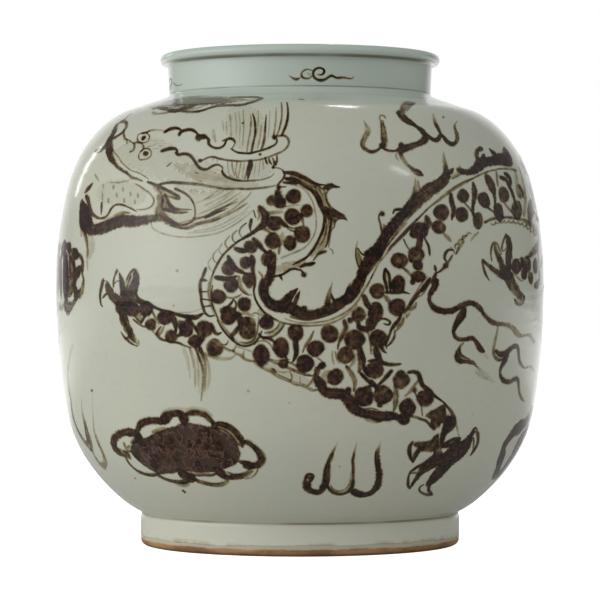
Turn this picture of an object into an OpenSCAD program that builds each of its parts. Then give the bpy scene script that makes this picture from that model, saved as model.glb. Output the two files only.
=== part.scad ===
// Big stoneware storage jar with a short neck, a rolled lip and a low foot band.
// It is thrown in sections, which are luted together with slip and then glazed
// inside and out. The glaze stops short of the foot's resting edge.
// The origin is the centre of the resting plane, and +Z is up the jar's axis.

/* [Jar] */
// Height from the resting plane to the top of the lip
jar_h = 390; // [370:1:430]
// Widest diameter, over the glaze
belly_d = 389; // [360:1:430]
// Height of the widest place, where the two body sections are luted
belly_z = 210; // [190:1:230]

/* [Foot] */
// Diameter of the foot band, over the glaze
foot_d = 255; // [235:1:275]
// Height of the foot band
foot_h = 23.5; // [19:0.5:30]
// Radial width of the foot ring
foot_w = 16; // [13:0.5:20]
// Radius of the bare, rounded resting edge
foot_round = 4.5; // [2:0.5:6]
// Height at which the glaze stops above the resting plane
bare_h = 7; // [6.5:0.5:12]
// Height of the groove between the foot band and the body
groove_h = 3; // [2:0.5:5]
// Depth of that groove
groove_t = 1.2; // [0.5:0.1:2]

/* [Neck] */
// Diameter of the neck where it leaves the shoulder, over the glaze
neck_d = 208.6; // [200:0.2:215]
// Height from the shoulder to the top of the lip
neck_h = 33; // [26:1:42]
// How much wider the neck is just under the lip, in radius
neck_lean = 1.2; // [0:0.1:3]
// Thickness of the neck's clay wall
neck_wall = 8; // [6:0.5:10]

/* [Lip] */
// How far the rolled lip stands out past the neck's base
lip_out = 7.5; // [5:0.1:9]
// Radius of the roll
lip_round = 4.5; // [3.5:0.1:5.5]
// Radius of the lip's edge towards the mouth
mouth_round = 3.5; // [2:0.5:5]

/* [Walls] */
// Thickness of the body's clay wall
wall_t = 9; // [7:0.5:12]
// Thickness of the floor slab
base_t = 12; // [9:0.5:14]
// Thickness of the slip in each luted seam
seam_t = 0.8; // [0.5:0.1:1.5]
// Slant of the belly seam, in degrees
seam_slant = 20; // [0:1:30]
// Thickness of the glaze
glaze_t = 0.6; // [0.4:0.1:1]

/* [Hidden] */
$fn = 96;

belly_r = belly_d / 2;
foot_r = foot_d / 2;
foot_inner_r = foot_r - foot_w;
neck_r = neck_d / 2;
neck_z = jar_h - neck_h;
mouth_r = neck_r - glaze_t - neck_wall - glaze_t;
lip_centre_r = neck_r + lip_out - lip_round;
lip_centre_z = jar_h - lip_round;
body_z = foot_h + groove_h;

// The body's swell from the foot to the belly: the share of the swell in radius,
// then the share of the height
lower_swell = [
    [0, 0], [0.09, 0.018], [0.35, 0.095], [0.54, 0.172], [0.70, 0.259],
    [0.82, 0.354], [0.903, 0.482], [0.96, 0.654], [0.988, 0.827], [1, 1]
];
// The same from the neck to the belly
upper_swell = [
    [0, 0], [0.045, 0.018], [0.16, 0.040], [0.284, 0.066], [0.433, 0.098],
    [0.534, 0.137], [0.647, 0.201], [0.765, 0.297], [0.867, 0.433],
    [0.932, 0.592], [0.98, 0.78], [1, 1]
];
curve_steps = 4;
arc_steps = 8;
// Extent of the cutting shapes, past every piece
reach = belly_d + jar_h;

// Points of the body's outside, from the foot up to the neck
body_stations = concat(
    [for (s = lower_swell)
        [foot_r + (belly_r - foot_r) * s.x, body_z + (belly_z - body_z) * s.y]],
    [for (i = [len(upper_swell) - 2 : -1 : 0])
        [neck_r + (belly_r - neck_r) * upper_swell[i].x,
         neck_z + (belly_z - neck_z) * upper_swell[i].y]]
);

// Slope of a smooth curve at station i, for a curve that runs at even speed
function chord(p, i) = norm(p[i + 1] - p[i]);
function end_slope(p, a, b) = (p[b] - p[a]) / norm(p[b] - p[a]);
function slope(p, i) =
    i == 0 ? end_slope(p, 0, 1) :
    i == len(p) - 1 ? end_slope(p, i - 1, i) :
    (end_slope(p, i - 1, i) * chord(p, i) + end_slope(p, i, i + 1) * chord(p, i - 1))
        / (chord(p, i - 1) + chord(p, i));

// Point at share t of the stretch from station i to the next one
function between(p, i, t) =
    (2 * t * t * t - 3 * t * t + 1) * p[i]
    + (t * t * t - 2 * t * t + t) * chord(p, i) * slope(p, i)
    + (3 * t * t - 2 * t * t * t) * p[i + 1]
    + (t * t * t - t * t) * chord(p, i) * slope(p, i + 1);

function smooth(p) = concat(
    [for (i = [0 : len(p) - 2]) for (k = [0 : curve_steps - 1]) between(p, i, k / curve_steps)],
    [p[len(p) - 1]]
);

body_curve = smooth(body_stations);

// Unit vector that points out of the jar at point i of a curve
function outward(p, i) =
    let (d = p[min(i + 1, len(p) - 1)] - p[max(i - 1, 0)])
    [d.y, -d.x] / norm(d);

// The curve moved into the wall by a depth
function sunk(p, depth) = [for (i = [0 : len(p) - 1]) p[i] - depth * outward(p, i)];

// Where the line through a and b comes to a height, or to a radius
function at_height(a, b, z) = a + (b - a) * (z - a.y) / (b.y - a.y);
function at_radius(a, b, r) = a + (b - a) * (r - a.x) / (b.x - a.x);

function arc(centre, r, from, to) =
    [for (k = [0 : arc_steps])
        let (angle = from + (to - from) * k / arc_steps)
        centre + r * [cos(angle), sin(angle)]];

// Half section of the whole jar, solid, with a skin of this thickness taken off
module outline(skin) {
    neck_top_r = neck_r + neck_lean - skin;
    roll = lip_round - skin;
    lip_start = acos(max(-1, (neck_top_r - lip_centre_r) / roll));
    polygon(concat(
        [[0, 0]],
        arc([foot_r - skin - foot_round, foot_round], foot_round, -90, 0),
        [[foot_r - skin, foot_h], [foot_r - skin - groove_t, foot_h + groove_h / 2]],
        sunk(body_curve, skin),
        [[neck_top_r, lip_centre_z - roll * sin(lip_start) - skin]],
        arc([lip_centre_r, lip_centre_z], roll, -lip_start, 90),
        [[0, jar_h - skin]]
    ));
}

// Half section of the hollow, with a skin of this thickness taken off its walls
module hollow(skin) {
    wall = sunk(body_curve, wall_t + 2 * glaze_t - skin);
    last = len(wall) - 1;
    floor_z = foot_h + glaze_t - skin;
    bore_r = mouth_r + skin;
    edge = [mouth_r + mouth_round, jar_h - mouth_round];
    polygon(concat(
        [[0, floor_z], at_height(wall[0], wall[1], floor_z)],
        [for (p = wall) if (p.x > bore_r) p],
        [at_radius(wall[last - 1], wall[last], bore_r)],
        arc(edge, mouth_round - skin, 180, 90),
        [[edge.x, jar_h + reach], [0, jar_h + reach]]
    ));
}

// Half section of all the fired clay
module clay() {
    difference() {
        outline(glaze_t);
        hollow(glaze_t);
    }
}

// Everything between two heights
module band(low, high) {
    translate([0, low])
        square([reach, high - low]);
}

// Everything between two lines that slant like the belly seam
module slanted_band(low, high) {
    rise = belly_r * tan(seam_slant);
    fall = (reach - belly_r) * tan(seam_slant);
    polygon([[0, low + rise], [reach, low - fall], [reach, high - fall], [0, high + rise]]);
}

// Ring on which the jar stands, trimmed to a band with a bare rounded edge
module foot_ring() {
    color("burlywood")
        rotate_extrude()
            intersection() {
                outline(glaze_t);
                translate([foot_inner_r, 0])
                    square([foot_w, foot_h]);
            }
}

// Floor of the jar, inside the foot ring and clear of the surface it stands on
module base_slab() {
    color("tan")
        translate([0, 0, foot_h - base_t])
            cylinder(h = base_t, r = foot_inner_r - seam_t);
}

// Slip between the floor slab and the foot ring
module base_seam_slip() {
    color("peru")
        rotate_extrude()
            translate([foot_inner_r - seam_t, foot_h - base_t])
                square([seam_t, base_t]);
}

// Slip that lutes the body onto the foot
module foot_seam_slip() {
    color("peru")
        rotate_extrude()
            intersection() {
                clay();
                band(foot_h, foot_h + seam_t);
            }
}

// Lower thrown section, from the foot to the belly
module lower_body() {
    color("wheat")
        rotate_extrude()
            intersection() {
                clay();
                band(foot_h + seam_t, neck_z);
                slanted_band(-reach, belly_z - seam_t / 2);
            }
}

// Slip that lutes the two body sections at the belly
module belly_seam_slip() {
    color("peru")
        rotate_extrude()
            intersection() {
                clay();
                band(foot_h, neck_z);
                slanted_band(belly_z - seam_t / 2, belly_z + seam_t / 2);
            }
}

// Upper thrown section, from the belly over the shoulder to the neck
module upper_body() {
    color("antiquewhite")
        rotate_extrude()
            intersection() {
                clay();
                band(foot_h, neck_z - seam_t);
                slanted_band(belly_z + seam_t / 2, reach);
            }
}

// Slip that lutes the neck onto the shoulder
module neck_seam_slip() {
    color("peru")
        rotate_extrude()
            intersection() {
                clay();
                band(neck_z - seam_t, neck_z);
            }
}

// Neck with its lip rolled out of the same clay
module neck() {
    color("linen")
        rotate_extrude()
            intersection() {
                clay();
                band(neck_z, jar_h);
            }
}

// Glaze that lines the hollow, up to the inner edge of the lip
module inner_glaze() {
    color("lightslategray")
        rotate_extrude()
            difference() {
                intersection() {
                    hollow(glaze_t);
                    band(0, jar_h);
                }
                hollow(0);
            }
}

// Glaze over the lip, the neck, the body and the foot band, down to the bare edge
module outer_glaze() {
    color("lightgray")
        rotate_extrude()
            intersection() {
                difference() {
                    outline(0);
                    outline(glaze_t);
                }
                translate([mouth_r + mouth_round, bare_h])
                    square([reach, jar_h]);
            }
}

foot_ring();
base_slab();
lower_body();
upper_body();
neck();
base_seam_slip();
foot_seam_slip();
belly_seam_slip();
neck_seam_slip();
inner_glaze();
outer_glaze();
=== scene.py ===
# Looks of a big glazed stoneware jar: its glaze, its bare clay foot and its iron-brown painting.
# The frame is in metres, with the jar's axis on Z and the photographed side towards -Y.
# Surface work is in millimetres: an angle round the axis, which is 0 at the front and grows to
# the viewer's right, and a length along the jar's outline, upwards from the glaze's lower edge.
import math

import bmesh
import bpy
import numpy as np
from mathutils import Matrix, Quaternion, Vector

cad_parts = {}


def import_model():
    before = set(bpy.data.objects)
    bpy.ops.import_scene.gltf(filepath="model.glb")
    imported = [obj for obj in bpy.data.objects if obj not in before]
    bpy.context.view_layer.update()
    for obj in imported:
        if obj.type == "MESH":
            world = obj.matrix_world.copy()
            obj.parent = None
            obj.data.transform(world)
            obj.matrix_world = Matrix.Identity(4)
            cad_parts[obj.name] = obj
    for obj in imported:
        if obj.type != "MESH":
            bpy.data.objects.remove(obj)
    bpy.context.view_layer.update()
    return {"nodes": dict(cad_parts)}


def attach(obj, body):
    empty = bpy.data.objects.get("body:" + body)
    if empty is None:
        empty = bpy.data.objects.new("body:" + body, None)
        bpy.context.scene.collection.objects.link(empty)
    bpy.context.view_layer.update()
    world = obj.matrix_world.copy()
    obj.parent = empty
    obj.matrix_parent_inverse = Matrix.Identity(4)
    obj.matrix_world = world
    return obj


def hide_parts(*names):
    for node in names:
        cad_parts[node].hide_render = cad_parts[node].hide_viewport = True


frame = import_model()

MM = 0.001
rng = np.random.default_rng(7)

# Camera, as worked out from the ellipses of the rim and the foot
CAMERA_DISTANCE = 2280.0
CAMERA_HEIGHT = 194.4
SENSOR = 36.0
PIXELS = 600
MM_PER_PIXEL = 0.8
LENS = SENSOR * CAMERA_DISTANCE / (PIXELS * MM_PER_PIXEL)


# Shape of the jar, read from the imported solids

COLUMNS = 440
GLAZE_T = 0.6
# Step along the outline, and how far its corners are rounded
PATH_STEP = 0.25
CORNER_REACH = 0.8
# Depth of the glaze's mean surface under the solid's, which leaves room for the painting's layers
SINK = 0.3
# The same depth at the neck, where the solid's glaze narrows in the crease
THIN_SINK = 0.08
# Heights between which the depth changes from one to the other
THINS_BETWEEN = (348, 356)
# Throwing rings: their mean depth, how much of it comes and goes, and the share left at the neck
RING_DEPTH = 0.05
RING_SWING = 0.4
RING_AT_NECK = 0.4
# Waves of the rings: mm of height to a radian, turns round the jar, start and share
RING_WAVES = ((1.45, 1, 0, 1), (2.9, -2, 1, 0.7), (4.7, 3, 0, 0.8))
# Height of the crease between body and neck, and how near to it the painting comes
CREASE_Z = 357
CREASE_GAP = 1.5


def section(node):
    """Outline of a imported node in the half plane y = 0, x > 0, from its lowest outer point up."""
    bm = bmesh.new()
    bm.from_mesh(frame["nodes"][node].data)
    bmesh.ops.remove_doubles(bm, verts=bm.verts, dist=1e-7)
    everything = bm.verts[:] + bm.edges[:] + bm.faces[:]
    cut = bmesh.ops.bisect_plane(bm, geom=everything, dist=1e-7, plane_co=(0, 0, 0), plane_no=(0, 1, 0))
    links = {}
    for item in cut["geom_cut"]:
        if isinstance(item, bmesh.types.BMEdge) and min(v.co.x for v in item.verts) > 1e-6:
            a, b = ((round(v.co.x / MM, 4), round(v.co.z / MM, 4)) for v in item.verts)
            links.setdefault(a, []).append(b)
            links.setdefault(b, []).append(a)
    bm.free()
    start = min(links, key=lambda p: (p[1], -p[0]))
    loop = [start, max(links[start], key=lambda p: p[0] + p[1])]
    while True:
        ahead = [p for p in links[loop[-1]] if p != loop[-2]]
        if not ahead or ahead[0] == start:
            return np.array(loop)
        loop.append(ahead[0])


def lengths(path):
    """Length along a path, at each of its points."""
    return np.concatenate([[0], np.cumsum(np.linalg.norm(np.diff(path, axis=0), axis=1))])


def evenly(path, step):
    """Points along a path at an even step."""
    along = lengths(path)
    want = np.linspace(0, along[-1], int(along[-1] / step) + 1)
    return np.stack([np.interp(want, along, path[:, 0]), np.interp(want, along, path[:, 1])], 1)


def softened(path, step, reach):
    """An even path with its corners rounded over about reach mm. Its ends stay where they are."""
    count = int(3 * reach / step)
    weights = np.exp(-0.5 * (np.arange(-count, count + 1) * step / reach) ** 2)
    weights /= weights.sum()
    before = 2 * path[0] - path[count:0:-1]
    after = 2 * path[-1] - path[-2:-count - 2:-1]
    long = np.concatenate([before, path, after])
    return np.stack([np.convolve(long[:, k], weights, "valid") for k in (0, 1)], 1)


def sides(path):
    """Unit vectors to the right of a path that runs up the jar, so they point out of the wall."""
    ahead = np.gradient(path, axis=0)
    ahead /= np.linalg.norm(ahead, axis=1)[:, None]
    return np.stack([ahead[:, 1], -ahead[:, 0]], 1)


outer_loop = section("outer_glaze")
crown = int(np.lexsort((outer_loop[:, 0], -outer_loop[:, 1]))[0])
outer_path = softened(evenly(outer_loop[:crown + 1], PATH_STEP), PATH_STEP, CORNER_REACH)
outer_side = sides(outer_path)
outer_t = lengths(outer_path)
rising_z = np.maximum.accumulate(outer_path[:, 1])


def radius(t):
    return np.interp(t, outer_t, outer_path[:, 0])


def height_to_t(z):
    return np.interp(z, rising_z, outer_t)


def side_at(t):
    return np.interp(t, outer_t, outer_side[:, 0]), np.interp(t, outer_t, outer_side[:, 1])


def surface(a, t, lift):
    """Points of the outside, in mm, at an angle, a length along the outline and a height over the glaze."""
    r = radius(t)
    z = np.interp(t, outer_t, outer_path[:, 1])
    side_r, side_z = side_at(t)
    rings = sum(share * np.sin(z / reach + turns * a + start) for reach, turns, start, share in RING_WAVES)
    depth = SINK * np.interp(z, THINS_BETWEEN, (1, THIN_SINK / SINK))
    depth = depth + RING_DEPTH * (1 + RING_SWING * rings) * np.interp(z, THINS_BETWEEN, (1, RING_AT_NECK))
    r = r + side_r * (lift - depth)
    z = z + side_z * (lift - depth)
    return np.stack([r * np.sin(a), -r * np.cos(a), z], -1)


def surface_normal(a, t):
    side_r, side_z = side_at(t)
    return np.stack([side_r * np.sin(a), -side_r * np.cos(a), side_z], -1)


# Places along Y in mm, from before the jar to near its axis, where a line of sight is tried
SIGHT_STEPS = np.linspace(-205, -5, 1601)


def from_picture(points):
    """Angle and outline length of the spots that the camera sees at (x, z) mm in the plane of the axis.
    A spot past the silhouette goes to the nearest point of the silhouette."""
    points = np.asarray(points, float).reshape(-1, 2)
    share = (SIGHT_STEPS + CAMERA_DISTANCE) / CAMERA_DISTANCE
    x = points[:, :1] * share
    z = CAMERA_HEIGHT + (points[:, 1:] - CAMERA_HEIGHT) * share
    gap = np.hypot(x, SIGHT_STEPS) - np.interp(z, rising_z, outer_path[:, 0])
    inside = gap < 0
    hit = np.where(inside.any(1), inside.argmax(1), gap.argmin(1))
    pick = np.arange(len(points))
    angle = np.arctan2(x[pick, hit], -SIGHT_STEPS[hit])
    return np.stack([angle, height_to_t(z[pick, hit])], 1)


def one_part(spots):
    """The same spots, all kept on the body or all on the neck, whichever holds most of them."""
    crease = height_to_t(CREASE_Z)
    spots = np.array(spots)
    if np.median(spots[:, 1]) < crease:
        spots[:, 1] = np.minimum(spots[:, 1], crease - CREASE_GAP)
    else:
        spots[:, 1] = np.maximum(spots[:, 1], crease + CREASE_GAP)
    return spots


# Brush strokes. A shape holds its middle line in (angle, length) terms, with widths and tones.

# Steps of a smooth line from one of its spots to the next
CURVE_STEPS = 12
# Soft edge of a stroke: its share of the half width, its most in mm, and the ink across it
SOFT_SHARE = 0.4
SOFT_MOST = 0.75
PROFILE_AT = (-1.6, -0.4, 0.4, 1.6)
PROFILE_INK = (1, 0.9, 0.36, 0)
# Most that a line near the silhouette is wider on the jar than it looks
MOST_SLANT = 3.0
# Half width in mm from which the middle of a brush line counts in full as its heart
WIDE = 3.0
# Height of a stroke over the glaze, and of each further stroke that lies over another
STROKE_LIFT = 0.04
LEVEL_LIFT = 0.012
# Depth of a stroke's edge under its top, and of its back under the glaze
EDGE_TUCK = 0.04
BACK_DEPTH = 0.1
# Steps in mm along a dab's edge and along a line, and the least and most rows of a dab
DAB_STEP = 1.2
DAB_ROWS = (16, 64)
LINE_STEPS = (0.8, 1.5)
LEAST_ROWS = 4
# Taper at a line's ends: its share of the length, and its least and most in mm
TAPER_SHARE = 0.35
TAPER = (0.5, 9.0)
# Random drifts along a line: mm from one draw to the next, and the lowest and highest
WIDTH_DRIFT = (5, -0.09, 0.09)
TONE_DRIFT = (8, -0.07, 0.05)
DAB_TONE_DRIFT = (-0.14, 0.03)
# Longest step between the rings of a dab, so that its faces stay above the round glaze
RING_STEP = 3.2
# Scale of the brush marks in a dab, round the jar and up it
DAB_MARKS = (5, 0.15)
# Point pairs that are compared at once
PAIRS_AT_ONCE = 3e6


def smooth_line(spots, closed=False):
    """Fine points of a smooth line through the spots, and the number of spots passed at each."""
    spots = np.asarray(spots, float)
    if closed:
        spots = np.concatenate([spots[-2:], spots, spots[:3]])
    solid = surface(spots[:, 0], spots[:, 1], 0)
    knots = np.concatenate([[0], np.cumsum(np.sqrt(np.linalg.norm(np.diff(solid, axis=0), axis=1)) + 1e-6)])
    rate = np.gradient(spots, knots, axis=0) if len(spots) > 2 else np.diff(spots, axis=0) / knots[1]
    if len(spots) == 2:
        rate = np.concatenate([rate, rate])
    fine = []
    index = []
    for i in range(2 if closed else 0, len(spots) - (3 if closed else 1)):
        u = np.linspace(0, 1, CURVE_STEPS, endpoint=False)[:, None]
        gap = knots[i + 1] - knots[i]
        fine.append((2 * u ** 3 - 3 * u ** 2 + 1) * spots[i] + (u ** 3 - 2 * u ** 2 + u) * gap * rate[i]
                    + (3 * u ** 2 - 2 * u ** 3) * spots[i + 1] + (u ** 3 - u ** 2) * gap * rate[i + 1])
        index.append(i - (2 if closed else 0) + u[:, 0])
    if not closed:
        fine.append(spots[-1:])
        index.append([len(spots) - 1])
    return np.concatenate(fine), np.concatenate(index)


def softness(half):
    return np.minimum(SOFT_SHARE * half, SOFT_MOST)


def spread(values, where):
    """Values spread evenly over 0 to 1, read at the given places."""
    values = np.atleast_1d(values).astype(float)
    return np.interp(where, np.linspace(0, 1, len(values)), values)


def line(width, tone, *numbers, ends=(0.75, 0.45), spots=None):
    """A brush line through x, z pairs, seen from the front. Width and tone may be lists along it.
    Its width is as seen too, so a line near the silhouette is wider on the jar."""
    if spots is None:
        seen = np.reshape(numbers, (-1, 2)).astype(float)
        width = spread(width, np.linspace(0, 1, len(seen)))
        ahead = np.gradient(seen, axis=0)
        ahead /= np.linalg.norm(ahead, axis=1)[:, None]
        across = np.stack([-ahead[:, 1], ahead[:, 0]], 1) * width[:, None] / 2
        left, right = np.split(one_part(from_picture(np.concatenate([seen + across, seen - across]))), 2)
        spots = (left + right) / 2
        wide = np.linalg.norm(surface(*left.T, 0) - surface(*right.T, 0), axis=1)
        width = np.minimum(wide, MOST_SLANT * width)
    return {"kind": "line", "spots": np.asarray(spots, float), "width": width, "tone": tone, "ends": ends}


def blob(tone, *numbers, spots=None):
    """A closed dab whose edge runs through x, z pairs, seen from the front."""
    spots = one_part(from_picture(numbers)) if spots is None else np.asarray(spots, float)
    return {"kind": "blob", "spots": spots, "tone": tone}


def scallops(width, tone, depth, *numbers):
    """A chain of small arcs between x, z pairs, each bulging to the right of its way by a depth."""
    seen = np.reshape(numbers, (-1, 2)).astype(float)
    arcs = []
    for start, end in zip(seen[:-1], seen[1:]):
        ahead = end - start
        right = np.array([ahead[1], -ahead[0]]) / np.linalg.norm(ahead) * depth
        arcs.append(line(width, tone, *start, *(start + 0.2 * ahead + 0.8 * right),
                         *(start + 0.5 * ahead + right), *(start + 0.8 * ahead + 0.8 * right), *end))
    return arcs


def dot(x, z, r, tone=0.95, squash=1.0, tilt=0.0):
    """A roundish dab with an uneven edge."""
    steps = np.linspace(0, 2 * np.pi, 9)[:-1]
    reach = r * (1.04 + rng.uniform(-0.1, 0.1, len(steps)))
    side = reach * np.cos(steps)
    rise = reach * np.sin(steps) * squash
    turn = math.radians(tilt)
    px = x + side * math.cos(turn) - rise * math.sin(turn)
    pz = z + side * math.sin(turn) + rise * math.cos(turn)
    return blob(tone, *np.stack([px, pz], 1).ravel())


def turned(shapes, degrees, rise=0.0, mirror=False):
    """The same shapes elsewhere: turned round the jar, moved up, and mirrored left to right."""
    moved = []
    for shape in shapes:
        copy = dict(shape)
        spots = shape["spots"] * ((-1, 1) if mirror else (1, 1))
        copy["spots"] = spots + (math.radians(degrees), rise)
        moved.append(copy)
    return moved


def drift(at, total, step, low, high):
    """Slow random changes along a line, from one draw to the next every so many mm."""
    count = max(3, int(total / step))
    return np.interp(at, np.linspace(0, total, count), rng.uniform(low, high, count))


def prepare(shape):
    """Fine middle line, widths and tones of a shape, in place."""
    closed = shape["kind"] == "blob"
    fine, index = smooth_line(shape["spots"], closed)
    if closed:
        fine = np.concatenate([fine, fine[:1]])
        index = np.append(index, len(shape["spots"]))
    along = lengths(surface(fine[:, 0], fine[:, 1], 0))
    total = along[-1]
    if closed:
        count = int(np.clip(total / DAB_STEP, *DAB_ROWS))
    else:
        count = max(LEAST_ROWS, int(total / np.clip(np.max(shape["width"]) / 3, *LINE_STEPS)))
    at = np.linspace(0, total, count, endpoint=not closed)
    shape["at"] = at
    shape["a"] = np.interp(at, along, fine[:, 0])
    shape["t"] = np.interp(at, along, fine[:, 1])
    shape["middle"] = surface(shape["a"], shape["t"], 0)
    where = np.interp(at, along, index) / max(1, len(shape["spots"]) - (0 if closed else 1))
    tones = spread(shape["tone"], where)
    if closed:
        shape["half"] = np.zeros(count)
        shape["tones"] = tones * (1 + rng.uniform(*DAB_TONE_DRIFT))
        apart = np.linalg.norm(shape["middle"] - shape["middle"].mean(0), axis=1)
        shape["size"] = float(apart.mean())
    else:
        half = spread(shape["width"], where) / 2
        taper = np.clip(TAPER_SHARE * total, *TAPER)
        head = np.clip(at / taper, 0, 1)
        tail = np.clip((total - at) / taper, 0, 1)
        start, end = shape["ends"]
        half = half * (start + (1 - start) * np.sqrt(head)) * (end + (1 - end) * np.sqrt(tail))
        shape["half"] = half * (1 + drift(at, total, *WIDTH_DRIFT))
        shape["tones"] = np.clip(tones * (1 + drift(at, total, *TONE_DRIFT)), 0, 1)
        shape["size"] = float(shape["half"].max())
    pad = shape["half"].max() * PROFILE_AT[-1] + 2 * SOFT_MOST
    shape["low"] = shape["middle"].min(0) - pad
    shape["high"] = shape["middle"].max(0) + pad


def nearest(points, shape):
    """Distance of points from a shape's line, with the half width and tone there."""
    start = shape["middle"]
    half = shape["half"]
    tones = shape["tones"]
    end = np.roll(start, -1, 0)
    half_end = np.roll(half, -1)
    tones_end = np.roll(tones, -1)
    if shape["kind"] == "line":
        start, half, tones = start[:-1], half[:-1], tones[:-1]
        end, half_end, tones_end = end[:-1], half_end[:-1], tones_end[:-1]
    span = end - start
    size = np.maximum((span ** 2).sum(1), 1e-9)
    offset = points[:, None] - start[None]
    share = np.clip((offset * span[None]).sum(2) / size[None], 0, 1)
    gap = np.linalg.norm(offset - share[..., None] * span[None], axis=2)
    best = (gap - (half + (half_end - half) * share)).argmin(1)
    pick = np.arange(len(points))
    u = share[pick, best]
    return (gap[pick, best], half[best] + (half_end - half)[best] * u,
            tones[best] + (tones_end - tones)[best] * u)


def encloses(shape, a, t):
    """Whether points lie inside a closed outline."""
    ring_a, ring_t = shape["a"], shape["t"]
    next_a, next_t = np.roll(ring_a, -1), np.roll(ring_t, -1)
    crossing = (ring_t[None] > t[:, None]) != (next_t[None] > t[:, None])
    slope = (next_a - ring_a) / np.where(next_t == ring_t, 1e-9, next_t - ring_t)
    reach = ring_a[None] + (t[:, None] - ring_t[None]) * slope[None]
    return (crossing & (a[:, None] < reach)).sum(1) % 2 == 1


def ink_of(shape, a, t, points):
    """Ink that one shape lays at points given both ways. Zero outside it."""
    ink = np.zeros(len(points))
    near = ((points > shape["low"]) & (points < shape["high"])).all(1)
    chosen = np.flatnonzero(near)
    chunk = max(1, int(PAIRS_AT_ONCE / len(shape["a"])))
    for first in range(0, len(chosen), chunk):
        some = chosen[first:first + chunk]
        gap, half, tone = nearest(points[some], shape)
        if shape["kind"] == "blob":
            gap = np.where(encloses(shape, a[some], t[some]), -gap, gap)
            soft = softness(shape["size"])
        else:
            gap = gap - half
            soft = softness(half)
        ink[some] = tone * np.interp(gap / soft, PROFILE_AT, PROFILE_INK)
    return ink


# Places across a line: a share of its half width, and so many steps of its soft edge
ONE_SIDE = [(-1, step) for step in PROFILE_AT[::-1]]
ONE_SIDE += [(-share, share * PROFILE_AT[0]) for share in (0.67, 0.33)]
LINE_COLUMNS = np.array(ONE_SIDE + [(0, 0)] + [(-share, step) for share, step in ONE_SIDE[::-1]])
CAP_STEPS = np.radians([28, 56, 80])


def line_grid(shape):
    """Rows of (angle, length) across a line, rounded off past both ends, and their brush coordinates."""
    a, t, half = shape["a"], shape["t"], shape["half"]
    r = radius(t)
    ahead_a = np.gradient(a) * r
    ahead_t = np.gradient(t)
    size = np.maximum(np.hypot(ahead_a, ahead_t), 1e-9)
    ahead = np.stack([ahead_a / size, ahead_t / size], 1)
    # Each row: its place on the line, the push past the end and the squeeze across
    lead = [(0, -math.sin(s), math.cos(s)) for s in CAP_STEPS[::-1]]
    trail = [(len(a) - 1, math.sin(s), math.cos(s)) for s in CAP_STEPS]
    rows = np.array(lead + [(i, 0, 1) for i in range(len(a))] + trail)
    which = rows[:, 0].astype(int)
    push = rows[:, 1]
    h = half[which]
    soft = softness(h)
    reach = h + PROFILE_AT[-1] * soft
    outward = np.sign(LINE_COLUMNS[None, :, 0])
    offsets = LINE_COLUMNS[None, :, 0] * h[:, None] + outward * LINE_COLUMNS[None, :, 1] * soft[:, None]
    offsets = offsets * rows[:, 2:]
    across = np.stack([-ahead[which, 1], ahead[which, 0]], 1)
    shift = ahead[which] * (push * reach)[:, None]
    grid_a = a[which][:, None] + (shift[:, :1] + across[:, :1] * offsets) / r[which][:, None]
    grid_t = t[which][:, None] + shift[:, 1:] + across[:, 1:] * offsets
    brush_u = np.repeat((shape["at"][which] + push * reach)[:, None], len(LINE_COLUMNS), 1)
    brush_v = offsets / np.maximum(h, 0.1)[:, None]
    return grid_a, grid_t, brush_u, brush_v


def line_sheet(shape):
    """Top and back of a brush line: places, brush marks, faces and what lies at the edge."""
    grid_a, grid_t, brush_u, brush_v = line_grid(shape)
    rows, columns = grid_a.shape
    edge = np.zeros((rows, columns), bool)
    edge[:, (0, -1)] = True
    edge[(0, -1), :] = True
    index = np.arange(rows * columns).reshape(rows, columns)
    quads = np.stack([index[:-1, :-1], index[:-1, 1:], index[1:, 1:], index[1:, :-1]], -1)
    faces = [tuple(q) for q in quads.reshape(-1, 4)[:, ::-1]]
    top_faces = len(faces)
    back = np.arange(rows * columns, rows * columns + 2 * rows).reshape(rows, 2)
    for i in range(rows - 1):
        faces.append((back[i, 0], back[i, 1], back[i + 1, 1], back[i + 1, 0]))
        faces.append((index[i, 0], back[i, 0], back[i + 1, 0], index[i + 1, 0]))
        faces.append((index[i, -1], index[i + 1, -1], back[i + 1, 1], back[i, 1]))
    faces.append(tuple(index[0]) + (back[0, 1], back[0, 0]))
    faces.append(tuple(index[-1][::-1]) + (back[-1, 0], back[-1, 1]))
    return {
        "top": (grid_a.ravel(), grid_t.ravel()),
        "back": (grid_a[:, (0, -1)].ravel(), grid_t[:, (0, -1)].ravel()),
        "brush": np.stack([brush_u.ravel(), brush_v.ravel()], 1),
        "heart": np.clip(1 - np.abs(brush_v), 0, 1).ravel() * np.clip(shape["size"] / WIDE, 0, 1),
        "edge": edge.ravel(),
        "faces": faces,
        "top_faces": top_faces,
    }


def blob_grid(shape):
    """Rings of (angle, length) from the middle of a dab to its edge, and its middle."""
    a, t = shape["a"], shape["t"]
    mid_a, mid_t = a.mean(), t.mean()
    r = radius(t)
    out_a = (np.roll(t, -1) - np.roll(t, 1))
    out_t = -(np.roll(a, -1) - np.roll(a, 1)) * r
    size = np.maximum(np.hypot(out_a, out_t), 1e-9)
    turning = np.sign(((a * np.roll(t, -1) - np.roll(a, -1) * t) * r).sum())
    out_a, out_t = out_a / size * turning, out_t / size * turning
    soft = softness(shape["size"])
    edges = [(a + out_a * step * soft / r, t + out_t * step * soft) for step in PROFILE_AT]
    inner_a, inner_t = edges[0]
    count = max(3, int(np.ceil(np.hypot((a - mid_a) * r, t - mid_t).max() / RING_STEP)))
    rings = [(mid_a + (inner_a - mid_a) * share, mid_t + (inner_t - mid_t) * share)
             for share in np.arange(1, count) / count]
    rings = np.array(rings + edges)
    return rings[:, 0], rings[:, 1], mid_a, mid_t


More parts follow.
